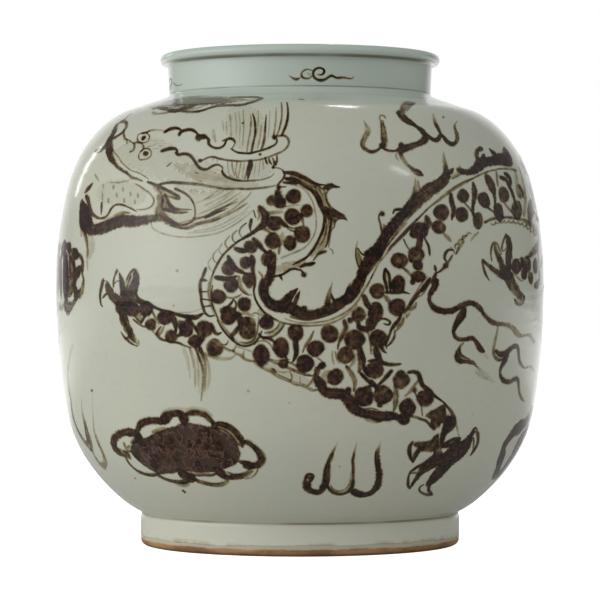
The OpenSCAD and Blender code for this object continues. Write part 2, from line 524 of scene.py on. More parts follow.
def blob_sheet(shape):
    """Top and back of a dab: places, brush marks, faces and what lies at the edge."""
    grid_a, grid_t, mid_a, mid_t = blob_grid(shape)
    rings, count = grid_a.shape
    top_a = np.append(grid_a.ravel(), mid_a)
    top_t = np.append(grid_t.ravel(), mid_t)
    scale_a, scale_t = DAB_MARKS
    depth = np.linspace(1, 0, rings + 1)[1:]
    middle = rings * count
    edge = np.zeros(middle + 1, bool)
    edge[middle - count:middle] = True
    index = np.arange(middle).reshape(rings, count)
    after = np.roll(index, -1, 1)
    rim_a, rim_t = grid_a[-1] - mid_a, grid_t[-1] - mid_t
    order = 1 if (rim_a * np.roll(rim_t, -1) - np.roll(rim_a, -1) * rim_t).sum() > 0 else -1
    faces = [(middle, index[0, k], after[0, k])[::order] for k in range(count)]
    for i in range(rings - 1):
        for k in range(count):
            faces.append((index[i, k], index[i + 1, k], after[i + 1, k], after[i, k])[::order])
    top_faces = len(faces)
    back = np.arange(middle + 1, middle + 1 + count)
    for k in range(count):
        faces.append((index[-1, k], back[k], back[(k + 1) % count], after[-1, k])[::order])
    faces.append(tuple(back[::-1])[::order])
    return {
        "top": (top_a, top_t),
        "back": (grid_a[-1], grid_t[-1]),
        "brush": np.stack([(top_a - mid_a) * radius(top_t) * scale_a, (top_t - mid_t) * scale_t], 1),
        "heart": np.append(np.repeat(np.clip(depth * 1.5, 0, 1), count), 1),
        "edge": edge,
        "faces": faces,
        "top_faces": top_faces,
    }


def build_shape(shape, lower):
    """Vertices, faces, normals, ink and brush coordinates of one shape, over the shapes below it."""
    sheet = line_sheet(shape) if shape["kind"] == "line" else blob_sheet(shape)
    flat = surface(*sheet["top"], 0)
    clear = 1 - ink_of(shape, *sheet["top"], flat)
    level = 0
    for other in lower:
        if (other["low"] < shape["high"]).all() and (shape["low"] < other["high"]).all():
            theirs = ink_of(other, *sheet["top"], flat)
            mine = ink_of(shape, other["a"], other["t"], other["middle"])
            if theirs.max() > 0 or mine.max() > 0:
                level = max(level, other["level"] + 1)
            clear = clear * (1 - theirs)
    shape["level"] = level
    lift = STROKE_LIFT + LEVEL_LIFT * level - EDGE_TUCK * sheet["edge"]
    top = surface(*sheet["top"], lift)
    under = surface(*sheet["back"], -BACK_DEPTH)
    none = np.zeros(len(under))
    return {
        "verts": np.concatenate([top, under]) * MM,
        "faces": sheet["faces"],
        "top_faces": sheet["top_faces"],
        "normals": np.concatenate([surface_normal(*sheet["top"]), -surface_normal(*sheet["back"])]),
        "ink": np.concatenate([1 - clear, none]),
        "heart": np.concatenate([sheet["heart"], none]),
        "bulk": np.full(len(top) + len(under), shape["size"]),
        "brush": np.concatenate([sheet["brush"], np.zeros((len(under), 2))]),
    }


def mesh_object(name, verts, faces, material):
    mesh = bpy.data.meshes.new(name)
    mesh.from_pydata([tuple(v) for v in verts], [], [tuple(int(i) for i in f) for f in faces])
    mesh.materials.append(material)
    mesh.polygons.foreach_set("use_smooth", [True] * len(mesh.polygons))
    obj = bpy.data.objects.new(name, mesh)
    bpy.context.scene.collection.objects.link(obj)
    return obj


def paint(groups, material):
    """One object for each named group of shapes. Wide shapes lie below narrow ones."""
    every = []
    for name, shapes in groups.items():
        for shape in shapes:
            shape["group"] = name
            prepare(shape)
            every.append(shape)
    every.sort(key=lambda s: -round(s["size"], 1))
    built = {name: [] for name in groups}
    for number, shape in enumerate(every):
        built[shape["group"]].append(build_shape(shape, every[:number]))
    for name, parts in built.items():
        faces = []
        loop_normals = []
        base = 0
        for part in parts:
            for k, face in enumerate(part["faces"]):
                faces.append([base + i for i in face])
                on_top = k < part["top_faces"]
                loop_normals += [part["normals"][i] if on_top else None for i in face]
            base += len(part["verts"])
        obj = mesh_object(name, np.concatenate([part["verts"] for part in parts]), faces, material)
        mesh = obj.data
        geometric = [tuple(c.vector) for c in mesh.corner_normals]
        chosen = [g if n is None else tuple(n) for n, g in zip(loop_normals, geometric)]
        mesh.normals_split_custom_set(chosen)
        for key in ("ink", "heart", "bulk"):
            values = np.concatenate([part[key] for part in parts]).astype(np.float32)
            mesh.attributes.new(key, "FLOAT", "POINT").data.foreach_set("value", values)
        seeds = rng.uniform(0, 100, len(parts))
        brush = np.concatenate([np.column_stack([part["brush"], np.full(len(part["brush"]), seed)])
                                for part, seed in zip(parts, seeds)]).astype(np.float32)
        mesh.attributes.new("brush", "FLOAT_VECTOR", "POINT").data.foreach_set("vector", brush.ravel())
        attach(obj, "root")


# Materials

def srgb(r, g, b):
    """A colour given as it looks on screen, 0 to 255, as Blender's linear values."""
    channel = [c / 255 for c in (r, g, b)]
    return tuple(c / 12.92 if c <= 0.04045 else ((c + 0.055) / 1.055) ** 2.4 for c in channel) + (1,)


class Nodes:
    """Short calls for building one node tree."""

    def __init__(self, tree):
        self.tree = tree

    def add(self, kind, **settings):
        node = self.tree.nodes.new("ShaderNode" + kind)
        for key, value in settings.items():
            setattr(node, key, value)
        return node

    def link(self, source, target):
        self.tree.links.new(source, target)

    def put(self, socket, value):
        if isinstance(value, bpy.types.NodeSocket):
            self.link(value, socket)
        else:
            socket.default_value = value

    def coordinates(self):
        return self.add("TexCoord").outputs["Object"]

    def axes(self, vector=None):
        """The X, Y and Z of a vector, by name, or else of the object's coordinates."""
        node = self.add("SeparateXYZ")
        self.link(self.coordinates() if vector is None else vector, node.inputs[0])
        return node.outputs

    def attribute(self, name):
        return self.add("Attribute", attribute_name=name, attribute_type="GEOMETRY").outputs

    def noise(self, scale, detail=3.0, roughness=0.5, vector=None):
        """Noise of 0 to 1, mostly near 0.5. Scale is in waves a metre."""
        node = self.add("TexNoise")
        self.put(node.inputs["Vector"], vector if vector is not None else self.coordinates())
        node.inputs["Scale"].default_value = scale
        node.inputs["Detail"].default_value = detail
        node.inputs["Roughness"].default_value = roughness
        return node.outputs["Fac"]

    def stretched(self, x, y, z, vector=None):
        node = self.add("Mapping")
        self.link(self.coordinates() if vector is None else vector, node.inputs["Vector"])
        node.inputs["Scale"].default_value = (x, y, z)
        return node.outputs["Vector"]

    def ramp(self, value, low, high, out_low=0.0, out_high=1.0, kind="SMOOTHSTEP"):
        """A value between low and high, moved smoothly to the range out_low to out_high."""
        node = self.add("MapRange", interpolation_type=kind)
        self.put(node.inputs["Value"], value)
        node.inputs["From Min"].default_value = low
        node.inputs["From Max"].default_value = high
        node.inputs["To Min"].default_value = out_low
        node.inputs["To Max"].default_value = out_high
        return node.outputs["Result"]

    def math(self, operation, a, b=0.0):
        node = self.add("Math", operation=operation)
        self.put(node.inputs[0], a)
        self.put(node.inputs[1], b)
        return node.outputs[0]

    def times(self, a, b):
        return self.math("MULTIPLY", a, b)

    def mix(self, factor, a, b):
        node = self.add("Mix", data_type="RGBA")
        self.put(node.inputs["Factor"], factor)
        self.put(node.inputs["A"], a)
        self.put(node.inputs["B"], b)
        return node.outputs["Result"]

    def bump(self, height, distance, strength=1.0, normal=None):
        node = self.add("Bump")
        node.inputs["Strength"].default_value = strength
        node.inputs["Distance"].default_value = distance
        self.put(node.inputs["Height"], height)
        if normal is not None:
            self.link(normal, node.inputs["Normal"])
        return node.outputs["Normal"]


def new_material(name):
    material = bpy.data.materials.new(name)
    material.use_nodes = True
    material.node_tree.nodes.clear()
    nodes = Nodes(material.node_tree)
    shader = nodes.add("BsdfPrincipled")
    output = nodes.add("OutputMaterial")
    nodes.link(shader.outputs["BSDF"], output.inputs["Surface"])
    return material, nodes, shader


# Heights in metres at which the glaze turns greener at the neck, and paler at the foot band
NECK_TINT = (0.33, 0.358)
FOOT_TINT = (0.022, 0.027)
# Dark lines round the jar under the lip, in the neck crease and in the foot groove, partly pooled glaze and
# partly painted crease shade: height, half width inside and outside, strength and colour
POOLED_GLAZE_AND_SHADE_LINES = (
    (0.3815, 0.0004, 0.0015, 1, (112, 104, 78)),
    (0.358, 0.0003, 0.0009, 1, (124, 126, 108)),
    (0.0252, 0.0004, 0.0014, 0.9, (118, 104, 72)),
)
# Heights between which the clay stains the glaze at its lower edge
STAIN = (0.0075, 0.0125)
SPECKS_A_METRE = 75


def glaze_colour(n):
    """Pale grey glaze, greener at the neck: slow warm and cool drifts, speckle, a few pinholes, and dark
    lines of pooled glaze and painted shade in the creases.
    """
    colour = n.mix(n.ramp(n.noise(9, 2), 0.3, 0.7), srgb(186, 188, 173), srgb(191, 192, 175))
    cool = n.ramp(n.noise(23, 3), 0.35, 0.75)
    colour = n.mix(n.times(cool, 0.3), colour, srgb(183, 188, 176))
    cloudy = n.noise(140, 4, 0.6, n.stretched(1, 1, 1.6))
    colour = n.mix(n.ramp(cloudy, 0.45, 0.8, 0, 0.25), colour, srgb(172, 176, 161))
    z = n.axes()["Z"]
    colour = n.mix(n.ramp(z, *NECK_TINT, 0, 0.85), colour, srgb(178, 191, 181))
    colour = n.mix(n.ramp(z, *FOOT_TINT, 0.8, 0), colour, srgb(200, 201, 186))
    # Lines at the lip's underside, the neck crease and the foot groove: pooled glaze darkened further by
    # painted shade, unevenly along their length
    patchy_line_strength = n.ramp(n.noise(14, 2), 0.35, 0.6, 0.45, 0.85)
    for height, inside, outside, strength, tint in POOLED_GLAZE_AND_SHADE_LINES:
        away = n.math("ABSOLUTE", n.math("SUBTRACT", z, height))
        colour = n.mix(n.times(n.ramp(away, inside, outside, strength, 0), patchy_line_strength), colour, srgb(*tint))
    stained = n.times(n.ramp(z, *STAIN, 1, 0), n.ramp(n.noise(60, 4), 0.4, 0.62))
    colour = n.mix(n.times(stained, 0.7), colour, srgb(158, 130, 98))
    speck = n.add("TexVoronoi")
    n.link(n.coordinates(), speck.inputs["Vector"])
    speck.inputs["Scale"].default_value = SPECKS_A_METRE
    spot = n.ramp(speck.outputs["Distance"], 0.03, 0.06, 1, 0)
    rare = n.ramp(n.noise(31, 2), 0.55, 0.62)
    return n.mix(n.times(n.times(spot, rare), 0.6), colour, srgb(120, 112, 92))


# Throwing rings in the bump: radians a metre, and how far the slow noise bends them
RADIANS_A_METRE = 700.0
RING_BEND = 0.01


def glaze_bump(n):
    """Faint orange-peel and throwing marks of the glaze's surface."""
    slow = n.noise(38, 2, 0.5, n.stretched(1, 1, 3))
    bent = n.math("ADD", n.axes()["Z"], n.times(slow, RING_BEND))
    thrown = n.math("SINE", n.times(bent, RADIANS_A_METRE))
    waves = n.bump(thrown, 0.00002, 0.3, n.bump(slow, 0.0006, 0.35))
    return n.bump(n.noise(260, 2), 0.00006, 0.4, waves)


def gloss(shader):
    shader.inputs["Roughness"].default_value = 0.14
    shader.inputs["IOR"].default_value = 1.5
    shader.inputs["Specular IOR Level"].default_value = 0.22


def glaze_material(name):
    material, n, shader = new_material(name)
    n.link(glaze_colour(n), shader.inputs["Base Color"])
    n.link(glaze_bump(n), shader.inputs["Normal"])
    gloss(shader)
    return material


def painting_material(name):
    """Iron-brown pigment under the same glaze: olive where it is thin, near black where it is thick."""
    material, n, shader = new_material(name)
    ink = n.attribute("ink")["Fac"]
    heart = n.attribute("heart")["Fac"]
    bulk = n.attribute("bulk")["Fac"]
    streak = n.noise(1.0, 3, 0.5, n.stretched(0.05, 1.6, 1, n.attribute("brush")["Vector"]))
    pooling = n.noise(170, 4, 0.55)
    weight = n.math("ADD", n.ramp(streak, 0.3, 0.7, -0.13, 0.11), n.ramp(pooling, 0.3, 0.7, -0.13, 0.11))
    uneven = n.math("ADD", ink, n.times(n.ramp(ink, 0.0, 0.5), weight))
    # Ragged edges, where the pigment ran: most in the half tones of broad strokes
    between = n.times(n.times(ink, n.math("SUBTRACT", 1.0, ink)), 4.0)
    ragged = n.ramp(n.noise(520, 3, 0.5), 0.34, 0.66, -0.32, 0.32)
    share = n.times(n.ramp(bulk, 0.6, 4.5, 0.15, 1.0), n.ramp(heart, 0.05, 0.35, 1, 0))
    uneven = n.math("ADD", uneven, n.times(n.times(between, ragged), share))
    colour = n.mix(n.ramp(uneven, 0.0, 0.42, kind="LINEAR"), glaze_colour(n), srgb(136, 126, 92))
    colour = n.mix(n.ramp(uneven, 0.36, 0.76), colour, srgb(74, 55, 32))
    rusty = n.math("ADD", n.noise(300, 4, 0.6), n.times(heart, 0.06))
    darkest = n.mix(n.ramp(rusty, 0.48, 0.7), srgb(26, 17, 10), srgb(70, 41, 33))
    # Veins of crystals where the pigment lies thickest
    broad = n.ramp(bulk, 8, 20)
    darkest = n.mix(n.times(broad, n.ramp(n.noise(70, 3), 0.42, 0.6)), darkest, srgb(62, 48, 42))
    veins = n.math("ABSOLUTE", n.math("SUBTRACT", n.noise(85, 5, 0.6), 0.5))
    darkest = n.mix(n.times(broad, n.ramp(veins, 0.0, 0.035, 0.8, 0)), darkest, srgb(104, 78, 72))
    colour = n.mix(n.ramp(uneven, 0.66, 0.93), colour, darkest)
    n.link(colour, shader.inputs["Base Color"])
    n.link(glaze_bump(n), shader.inputs["Normal"])
    gloss(shader)
    return material


# Heights in metres over which a painted contact shadow darkens the clay at its resting edge, and a thin
# smear of glaze begins
PAINTED_CONTACT_SHADOW = (0.0, 0.0035)
SMEAR = (0.0028, 0.0042)
SMEAR_WAVE = 0.004
# Radius in metres outside which the smear lies
SMEAR_OUTSIDE = (0.118, 0.12)


def clay_material(name, light, dark, smear=0.0):
    """Bare fired clay: burnt patches, fine sand and small pits, a painted contact shadow at the resting
    edge, and a smear of glaze on the foot's side.
    """
    material, n, shader = new_material(name)
    burnt = n.ramp(n.noise(30, 4, 0.6, n.stretched(1, 1, 3)), 0.35, 0.65)
    colour = n.mix(burnt, light, dark)
    axis = n.axes()
    # Painted contact shadow: the clay darkens towards its resting edge on the floor
    colour = n.mix(n.ramp(axis["Z"], *PAINTED_CONTACT_SHADOW, 0.6, 0), colour, srgb(62, 46, 34))
    colour = n.mix(n.ramp(n.noise(1500, 2), 0.62, 0.7, 0, 0.5), colour, srgb(176, 150, 118))
    if smear:
        aside = n.math("SQRT", n.math("ADD", n.times(axis["X"], axis["X"]), n.times(axis["Y"], axis["Y"])))
        height = n.math("SUBTRACT", axis["Z"], n.times(n.noise(45, 4, 0.6), SMEAR_WAVE))
        thin = n.times(n.ramp(height, *SMEAR), n.ramp(aside, *SMEAR_OUTSIDE))
        colour = n.mix(n.times(thin, smear), colour, srgb(186, 184, 164))
    n.link(colour, shader.inputs["Base Color"])
    grit = n.bump(n.noise(900, 4, 0.7), 0.00015, 0.8)
    n.link(n.bump(n.noise(110, 3), 0.0004, 0.5, grit), shader.inputs["Normal"])
    shader.inputs["Roughness"].default_value = 0.85
    shader.inputs["Specular IOR Level"].default_value = 0.3
    return material


GLAZE = glaze_material("grey_green_glaze")
PAINT = painting_material("iron_brown_painting")
BARE = clay_material("bare_burnt_clay", srgb(168, 132, 94), srgb(126, 92, 60), smear=0.8)
BODY = clay_material("body_clay", srgb(190, 180, 165), srgb(170, 158, 142))
SLIP = clay_material("fired_slip", srgb(170, 140, 110), srgb(140, 110, 84))


# Glaze shell, and the materials of the solids that are carried over

# Heights of the groove over the foot band and of the lip's underside
GROOVE_Z = 25
LIP_Z = 379
# Length along the outline over which the rows follow the waves of the glaze's lower edge
EDGE_REACH = 6.0
# That edge: its mean rise, and its waves as lobes round the jar, start and height in mm
EDGE_RISE = 1.2
EDGE_WAVES = ((3, 0.5, 0.55), (7, 2, 0.33), (16, 0, 0.275), (41, 1, 0.15), (67, 2, 0.125))
# Rings that round the edge off: length along the outline, height over the glaze and drop in mm
EDGE_ROLL = ((0, -0.45, 0.25), (-0.02, -0.18, 0))


def revolved(name, rings, material):
    """A closed ring of surface: rings is a list of functions of the column angles that give (r, z)."""
    angles = np.linspace(0, 2 * np.pi, COLUMNS, endpoint=False)
    verts = []
    for ring in rings:
        r, z = ring(angles)
        verts.append(np.stack([r * np.sin(angles), -r * np.cos(angles), z], 1))
    index = np.arange(len(rings) * COLUMNS).reshape(len(rings), COLUMNS)
    after = np.roll(index, -1, 1)
    faces = []
    for i in range(len(rings)):
        j = (i + 1) % len(rings)
        faces.append(np.stack([index[i], after[i], after[j], index[j]], 1))
    return mesh_object(name, np.concatenate(verts) * MM, np.concatenate(faces), material)


def glaze_edge(angles):
    """How far up the foot band the glaze's lower edge lies, in mm, as it ran unevenly."""
    waves = [height * np.sin(lobes * angles + start) for lobes, start, height in EDGE_WAVES]
    return EDGE_RISE + sum(waves)


def glaze_ring(t, lift, drop=0.0):
    """Ring at a length along the outline, which near the lower edge follows its waves."""
    def ring(angles):
        place = np.full(COLUMNS, float(t))
        if t < EDGE_REACH:
            place = t + glaze_edge(angles) * (1 - t / EDGE_REACH) - drop
        spot = surface(angles, place, lift)
        return np.hypot(spot[:, 0], spot[:, 1]), spot[:, 2]
    return ring


def stations(*runs):
    """Lengths along the outline, from runs of (first, last, how many)."""
    return np.concatenate([np.linspace(*run) for run in runs])


top_t = outer_t[-1]
crease_t = height_to_t(CREASE_Z)
groove_t = height_to_t(GROOVE_Z)
lip_t = height_to_t(LIP_Z)
# Rows, closest at the groove, at the crease and round the lip
rows = stations(
    (0, 6, 7), (8, groove_t - 4, 5), (groove_t - 3, groove_t + 6, 19), (groove_t + 8, crease_t - 8, 105),
    (crease_t - 6, crease_t + 5, 19), (crease_t + 7, lip_t - 3, 8), (lip_t - 1.5, top_t, 38),
)
inner_rows = stations(
    (6, 16, 2), (groove_t - 2, groove_t + 2, 3), (groove_t + 6, crease_t - 2, 30),
    (crease_t, crease_t + 3, 2), (crease_t + 7, top_t, 18),
)
outside = [glaze_ring(*ring) for ring in EDGE_ROLL] + [glaze_ring(t, 0) for t in rows]
inside = [glaze_ring(t, SINK - GLAZE_T) for t in (0, *inner_rows)]
outer_glaze = revolved("glaze_outside", outside + inside[::-1], GLAZE)
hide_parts("outer_glaze")
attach(outer_glaze, "root")

KEPT_SOLIDS = {
    BARE: ("foot_ring", "base_slab"),
    BODY: ("lower_body", "upper_body", "neck"),
    SLIP: ("base_seam_slip", "foot_seam_slip", "belly_seam_slip", "neck_seam_slip"),
    GLAZE: ("inner_glaze",),
}
for material, nodes in KEPT_SOLIDS.items():
    for node in nodes:
        data = frame["nodes"][node].data
        data.materials.clear()
        data.materials.append(material)


# The painting, stroke by stroke, as x and z in mm seen from the front

HEAD_WASH = [
    line([10, 26, 30, 26, 14], 0.1, -146, 312, -128, 312, -105, 303, -80, 293, -55, 288),
    line([8, 12, 12, 8], 0.16, -98, 302, -80, 295, -60, 289, -35, 287),
    line([20, 30, 26, 10], 0.08, -112, 272, -88, 268, -62, 270, -45, 275),
    line([26, 30, 24], 0.09, -48, 345, -42, 330, -40, 316),
    line([10, 14, 12], 0.08, -60, 299, -38, 297, -22, 303),
    line([14, 22, 16], 0.09, -160, 281, -143, 280, -126, 277),
]
HEAD = [
    line(1.2, 0.4, -135.5, 343.5, -139.5, 340, -142, 338),
    line(1.6, 0.8, -144, 337, -140.5, 337.5, -138.8, 335, -139.5, 332.5, -141.5, 329.5, -145, 326.5,
         -148.5, 324.5, -151.5, 323.5),
    line([1.8, 3.2, 1.8], 0.8, -147, 335, -148.5, 331, -149.5, 328, -151.5, 325, -153.5, 321, -155, 318.5,
         -157, 316.5, -160, 314.8, -164, 313.8),
    line([2.2, 4, 2.4, 2.2, 2], [0.85, 0.85, 0.6], -151.5, 324, -152.5, 320, -153, 317, -152.3, 312,
         -151, 307.5, -148.5, 304, -145.5, 300.5, -142, 298, -138.5, 296, -136, 293.5, -133.5, 292,
         -129.5, 291, -126, 289.5),
    line(1.1, 0.45, -150, 319, -150, 315, -148, 311.5, -145.5, 309, -143, 305, -139, 301, -135, 298,
         -129, 296, -123, 292.5, -121, 291),
    line(1.3, 0.6, -141.5, 330.5, -141, 326, -139.5, 323.5, -136.5, 322, -134.5, 320.5, -132.5, 319.5),
    line(1, 0.4, -141, 326, -140.5, 322),
    line(1, 0.4, -139, 323, -138.5, 319.5),
    line(1.6, 0.6, -133.5, 320.5, -132.5, 317.5, -133.5, 314.5, -136.5, 313),
    line(1.6, 0.6, -132, 320.5, -129, 320.5, -126.5, 319.5, -125.5, 317.5, -125.5, 315.5, -127.5, 313),
    dot(-125.3, 324.2, 2, 0.95, 0.7, 45),
    line(1, 0.65, -129.5, 327, -126, 328.3, -122, 327.5, -120.5, 325, -122, 321.5, -125.5, 320.3, -129, 321,
         -130.3, 324, -129.5, 327),
    line(1.4, [0.8, 0.8, 0.25, 0.2], -126, 328, -122.5, 329, -119.5, 330.2, -113, 330.5, -108, 329.8),
    dot(-123.7, 311.7, 2.1, 0.95, 0.85, 0),
    line(1.1, 0.6, -127.8, 313.5, -125, 315.5, -121, 315.3, -119.2, 313, -119.5, 310, -121.5, 308,
         -125, 306.8, -128.5, 307, -129.2, 310, -127.8, 313.5),
    line(1, 0.25, -122, 317, -117, 318.5, -114.5, 320.2),
    line(1, 0.25, -118, 316, -113.5, 315.5),
    line(1, 0.25, -113, 318, -110, 317.5),
    line([2.6, 2.2, 1.6], 0.95, -107.5, 329.5, -105, 331, -101, 332, -97.5, 331.8, -95, 330.5),
    line([2.6, 2, 2], 0.9, -96.5, 326.8, -95.5, 329, -92.5, 330.3, -88, 331, -85, 330, -82.5, 328,
         -81.5, 326.5),
    dot(-81, 324.5, 2.7), dot(-77, 325.3, 2),
    line([2.6, 1.9, 1.9], 0.9, -76, 325.5, -74.5, 324.5, -73, 322, -73.3, 320, -71.5, 317.8, -69, 316.5,
         -65.5, 316, -62.5, 317, -60.5, 318.8, -59.5, 321, -58.8, 322.5),
    line(2.2, 0.85, -61.5, 322, -59, 322.8, -56.5, 323.8, -53.8, 323.2, -52.3, 321.5, -52, 320),
    line(1.3, 0.5, -52.5, 319.5, -53.2, 317.5, -54.5, 315.8),
    line(1.7, 0.8, -55, 315.5, -52.5, 313.8, -49.5, 312.5, -45, 312, -40, 312, -35, 313.2, -31, 314.2,
         -27, 315.5, -22.5, 317.5, -20, 319, -18.5, 321.5, -18.8, 323.5, -20.5, 325),
    dot(-20.5, 324.8, 1.8),
    line([2.2, 1.5, 1.5, 1.7, 1.6], 0.65, -19, 325.3, -17, 325.8, -13.5, 326.2, -10.5, 324.8, -9, 321.5,
         -9.6, 318, -12, 315, -15.5, 312.8, -20, 311, -25, 309, -30, 307.5, -35, 306.5, -42, 306,
         -48, 305.6, -55, 306, -61, 306.8, -66, 308, -70, 309, -74, 308.3, -77, 306.8, -80.5, 305.5),
    dot(-80, 305.8, 1.4),
    line([2.8, 2.4, 1.8], 0.95, -110.5, 314, -106.5, 315.2, -102, 315.8, -99, 315, -98, 312),
    line([2.6, 2.4, 2.2, 1.8, 1.6], [0.95, 0.9, 0.8, 0.6], -99.5, 312.5, -97.5, 310.7, -95, 311.2,
         -92, 311.5, -88.5, 310.5, -86, 308, -84, 305, -82, 302, -80, 300, -77.5, 299, -74.5, 299,
         -72, 300.5, -69, 302.3, -66, 302.8, -63.5, 301.8, -62, 300.2, -62, 298, -62.5, 296.5),
    line([2.2, 1.8, 1.5, 1.2], [0.85, 0.8, 0.55, 0.35], -62.5, 297.5, -61, 294.8, -58, 292.5, -54, 291,
         -49, 290, -44, 289.7, -38, 290, -32, 290.5, -27, 291.8, -23, 293.5, -20.5, 296),
    line([2.4, 1.8, 1.8], [0.75, 0.6], -112.5, 287, -108, 288, -102, 288.5, -95, 288, -88, 287.5,
         -80, 286.8, -73, 285.5, -66, 284.3, -58, 283.2, -50, 283.5, -42, 283.2, -34, 283.8, -28, 284.5,
         -22, 285.5, -18.5, 286.5),
    dot(-21.5, 300.5, 1.2),
    line(1.6, 0.65, -21, 300.3, -18, 300.2, -15, 299, -13, 297, -12.3, 294.5, -13.5, 291.5, -16, 288.5,
         -17.5, 286.5, -17, 284.5, -15.5, 285, -11, 285),
    dot(-17, 284.5, 1.7), dot(-32, 311, 1.1, 0.8), dot(-45.8, 336, 0.8, 0.75),
    line(1.3, 0.6, -106.5, 301.5, -104, 303.5, -102.5, 304.5),
    line(1, 0.4, -84, 296.5, -81, 295.3),
]
HAIR = [
    line(1.2, 0.4, -54.5, 304.5, -54, 300, -52.5, 294),
    line(1.2, 0.4, -50.5, 304.5, -51.5, 297, -50.5, 292),
    line(1.2, 0.4, -47.5, 304.5, -48.5, 298, -49.5, 292.5),
    line(1, 0.3, -58, 305, -57.5, 299, -56.5, 294),
    line(1, 0.3, -44.5, 304.5, -45.5, 298, -46, 292),
    line(1, 0.25, -35, 306, -36, 300, -37, 293),
    line(1, 0.25, -32, 306.5, -32.5, 300, -33.5, 293),
    line([4.8, 3.6, 1.2], 0.9, -39.5, 305, -40, 301.5, -41, 297, -41.5, 293, -42, 290.5),
    line(1.2, 0.6, -41.5, 302, -43, 296, -44.5, 291),
    line(1.6, 0.75, -28, 308.5, -27, 305, -26, 303),
    line(1.6, 0.75, -25, 308, -24, 304.5, -22.5, 303),
    line(1.6, 0.75, -22, 308, -21, 306, -20.5, 303.5, -21.3, 300.5),
    line(1.6, 0.75, -18.5, 310, -18.5, 306, -19.5, 302),
    line(1.2, 0.35, -30, 307, -29.5, 303, -29, 299),
    line(1, 0.3, -66, 307, -66.5, 304.5),
    line(1, 0.3, -69.5, 308, -70, 305),
    line(1.4, 0.5, -42.5, 313.5, -41.5, 320, -40, 328, -39.2, 336, -39.5, 343),
    line(1.8, 0.75, -39, 312.5, -37.5, 320, -36, 327, -35.8, 333, -36.5, 339, -38, 344),
    line([2, 1.8, 1.2], 0.7, -31, 315, -29.5, 319, -28.5, 324, -28, 330, -27.5, 336, -27, 343),
    line(1.2, 0.35, -34, 316, -32, 325, -31, 335),
    line([1.8, 1.2, 1], 0.4, -21, 326.5, -20, 333, -19.3, 340, -19, 349),
    line(1.3, 0.55, -18.5, 326.5, -17, 330, -16, 334, -14.7, 340, -14.5, 347, -15, 353),
    line([2.2, 1.9, 1.5], 0.85, -14.5, 326.5, -13, 330, -11, 335, -9.8, 341, -9.7, 347, -10.5, 353),
    line([1.6, 2.6, 1.6], 0.3, -69.5, 331, -69, 326, -67.5, 320.5),
    line(1.4, 0.3, -56, 343, -55.5, 335, -55, 325.5),
    line(1.2, 0.25, -62, 338, -61, 330),
    line(1.2, 0.25, -59, 337, -58.5, 327),
    line(1, 0.25, -52, 345, -51, 336, -51, 325),
    line(1, 0.25, -49, 346, -48, 335, -48.5, 321),
    line(1, 0.3, -45.5, 347, -45, 334, -45.8, 318),
    line(1, 0.25, -33.5, 346, -33.5, 336, -35, 325),
    line(1, 0.25, -24, 346, -24.5, 335, -25.5, 324),
]
JAW = [
    line([3, 6, 9, 9.5, 8.5, 8.5, 8, 9, 9.5, 8.5, 7.5, 6, 5.5, 5.5, 4.5, 3.5],
         [0.95, 0.97, 0.95, 0.9, 0.7, 0.55], -175, 272, -174, 266, -172.5, 260, -170, 255, -166, 251,
         -160, 251.5, -154, 253.5, -148, 256, -142, 258, -136, 257.5, -130, 257.5, -124, 258.5, -118, 259.5,
         -112, 260.5, -107, 258, -102, 255.5, -97, 254),
    line(2, 0.5, -158, 256.5, -152, 259.5, -146, 263, -141, 264.5, -136, 264),
    line([2.6, 1.6, 1.5], 0.75, -171.5, 277.5, -169.5, 274.5, -168.5, 269, -167, 264.5, -163.5, 261,
         -160, 259.7, -156.5, 260.5, -154, 262.5, -151.5, 267, -149, 269.8, -145, 271, -141, 270.2,
         -136, 268, -133, 266.5, -131, 265.2),
    line([1.2, 2.4, 1.6], 0.8, -166.3, 287.5, -168, 285.2, -170, 283.3, -172.5, 280.5),
    line(1.5, 0.5, -131.5, 287.2, -128, 285.2, -124.5, 282.8, -121, 280.3, -118.5, 277.5, -117, 274.5,
         -117.5, 271.5, -119.5, 269, -122.5, 267.5, -127, 266.7, -131, 266.8),
    line([2, 1.8, 0.8], 0.8, -159, 271.7, -159, 268, -159.3, 262.5),
    line(1.2, 0.3, -164.5, 295, -162, 291, -161, 289.5),
    line(1.2, 0.3, -152, 288.5, -145, 288.5, -139, 289.7, -135, 291.5),
    line(1, 0.3, -158.5, 282, -158, 278),
    line(1, 0.35, -158, 275, -158, 271.5),
    line([2.4, 2, 1.2], [0.8, 0.6, 0.25], -173.5, 252, -172, 247, -171, 242, -170.3, 236, -170.5, 228,
         -170, 218),
    line([3, 6, 3], 0.2, -168, 247, -167.5, 238, -168.5, 228),
    line(2, 0.35, -175, 251, -175, 246),
]
JAW += [line(1.7, 0.35, x, z, x + 0.3, z - 2.6) for x, z in (
    (-157.7, 286), (-149.5, 286), (-142, 284), (-158.3, 278), (-147, 279.5), (-153.5, 275), (-141, 275),
    (-130, 279), (-132.5, 274), (-136, 280))]
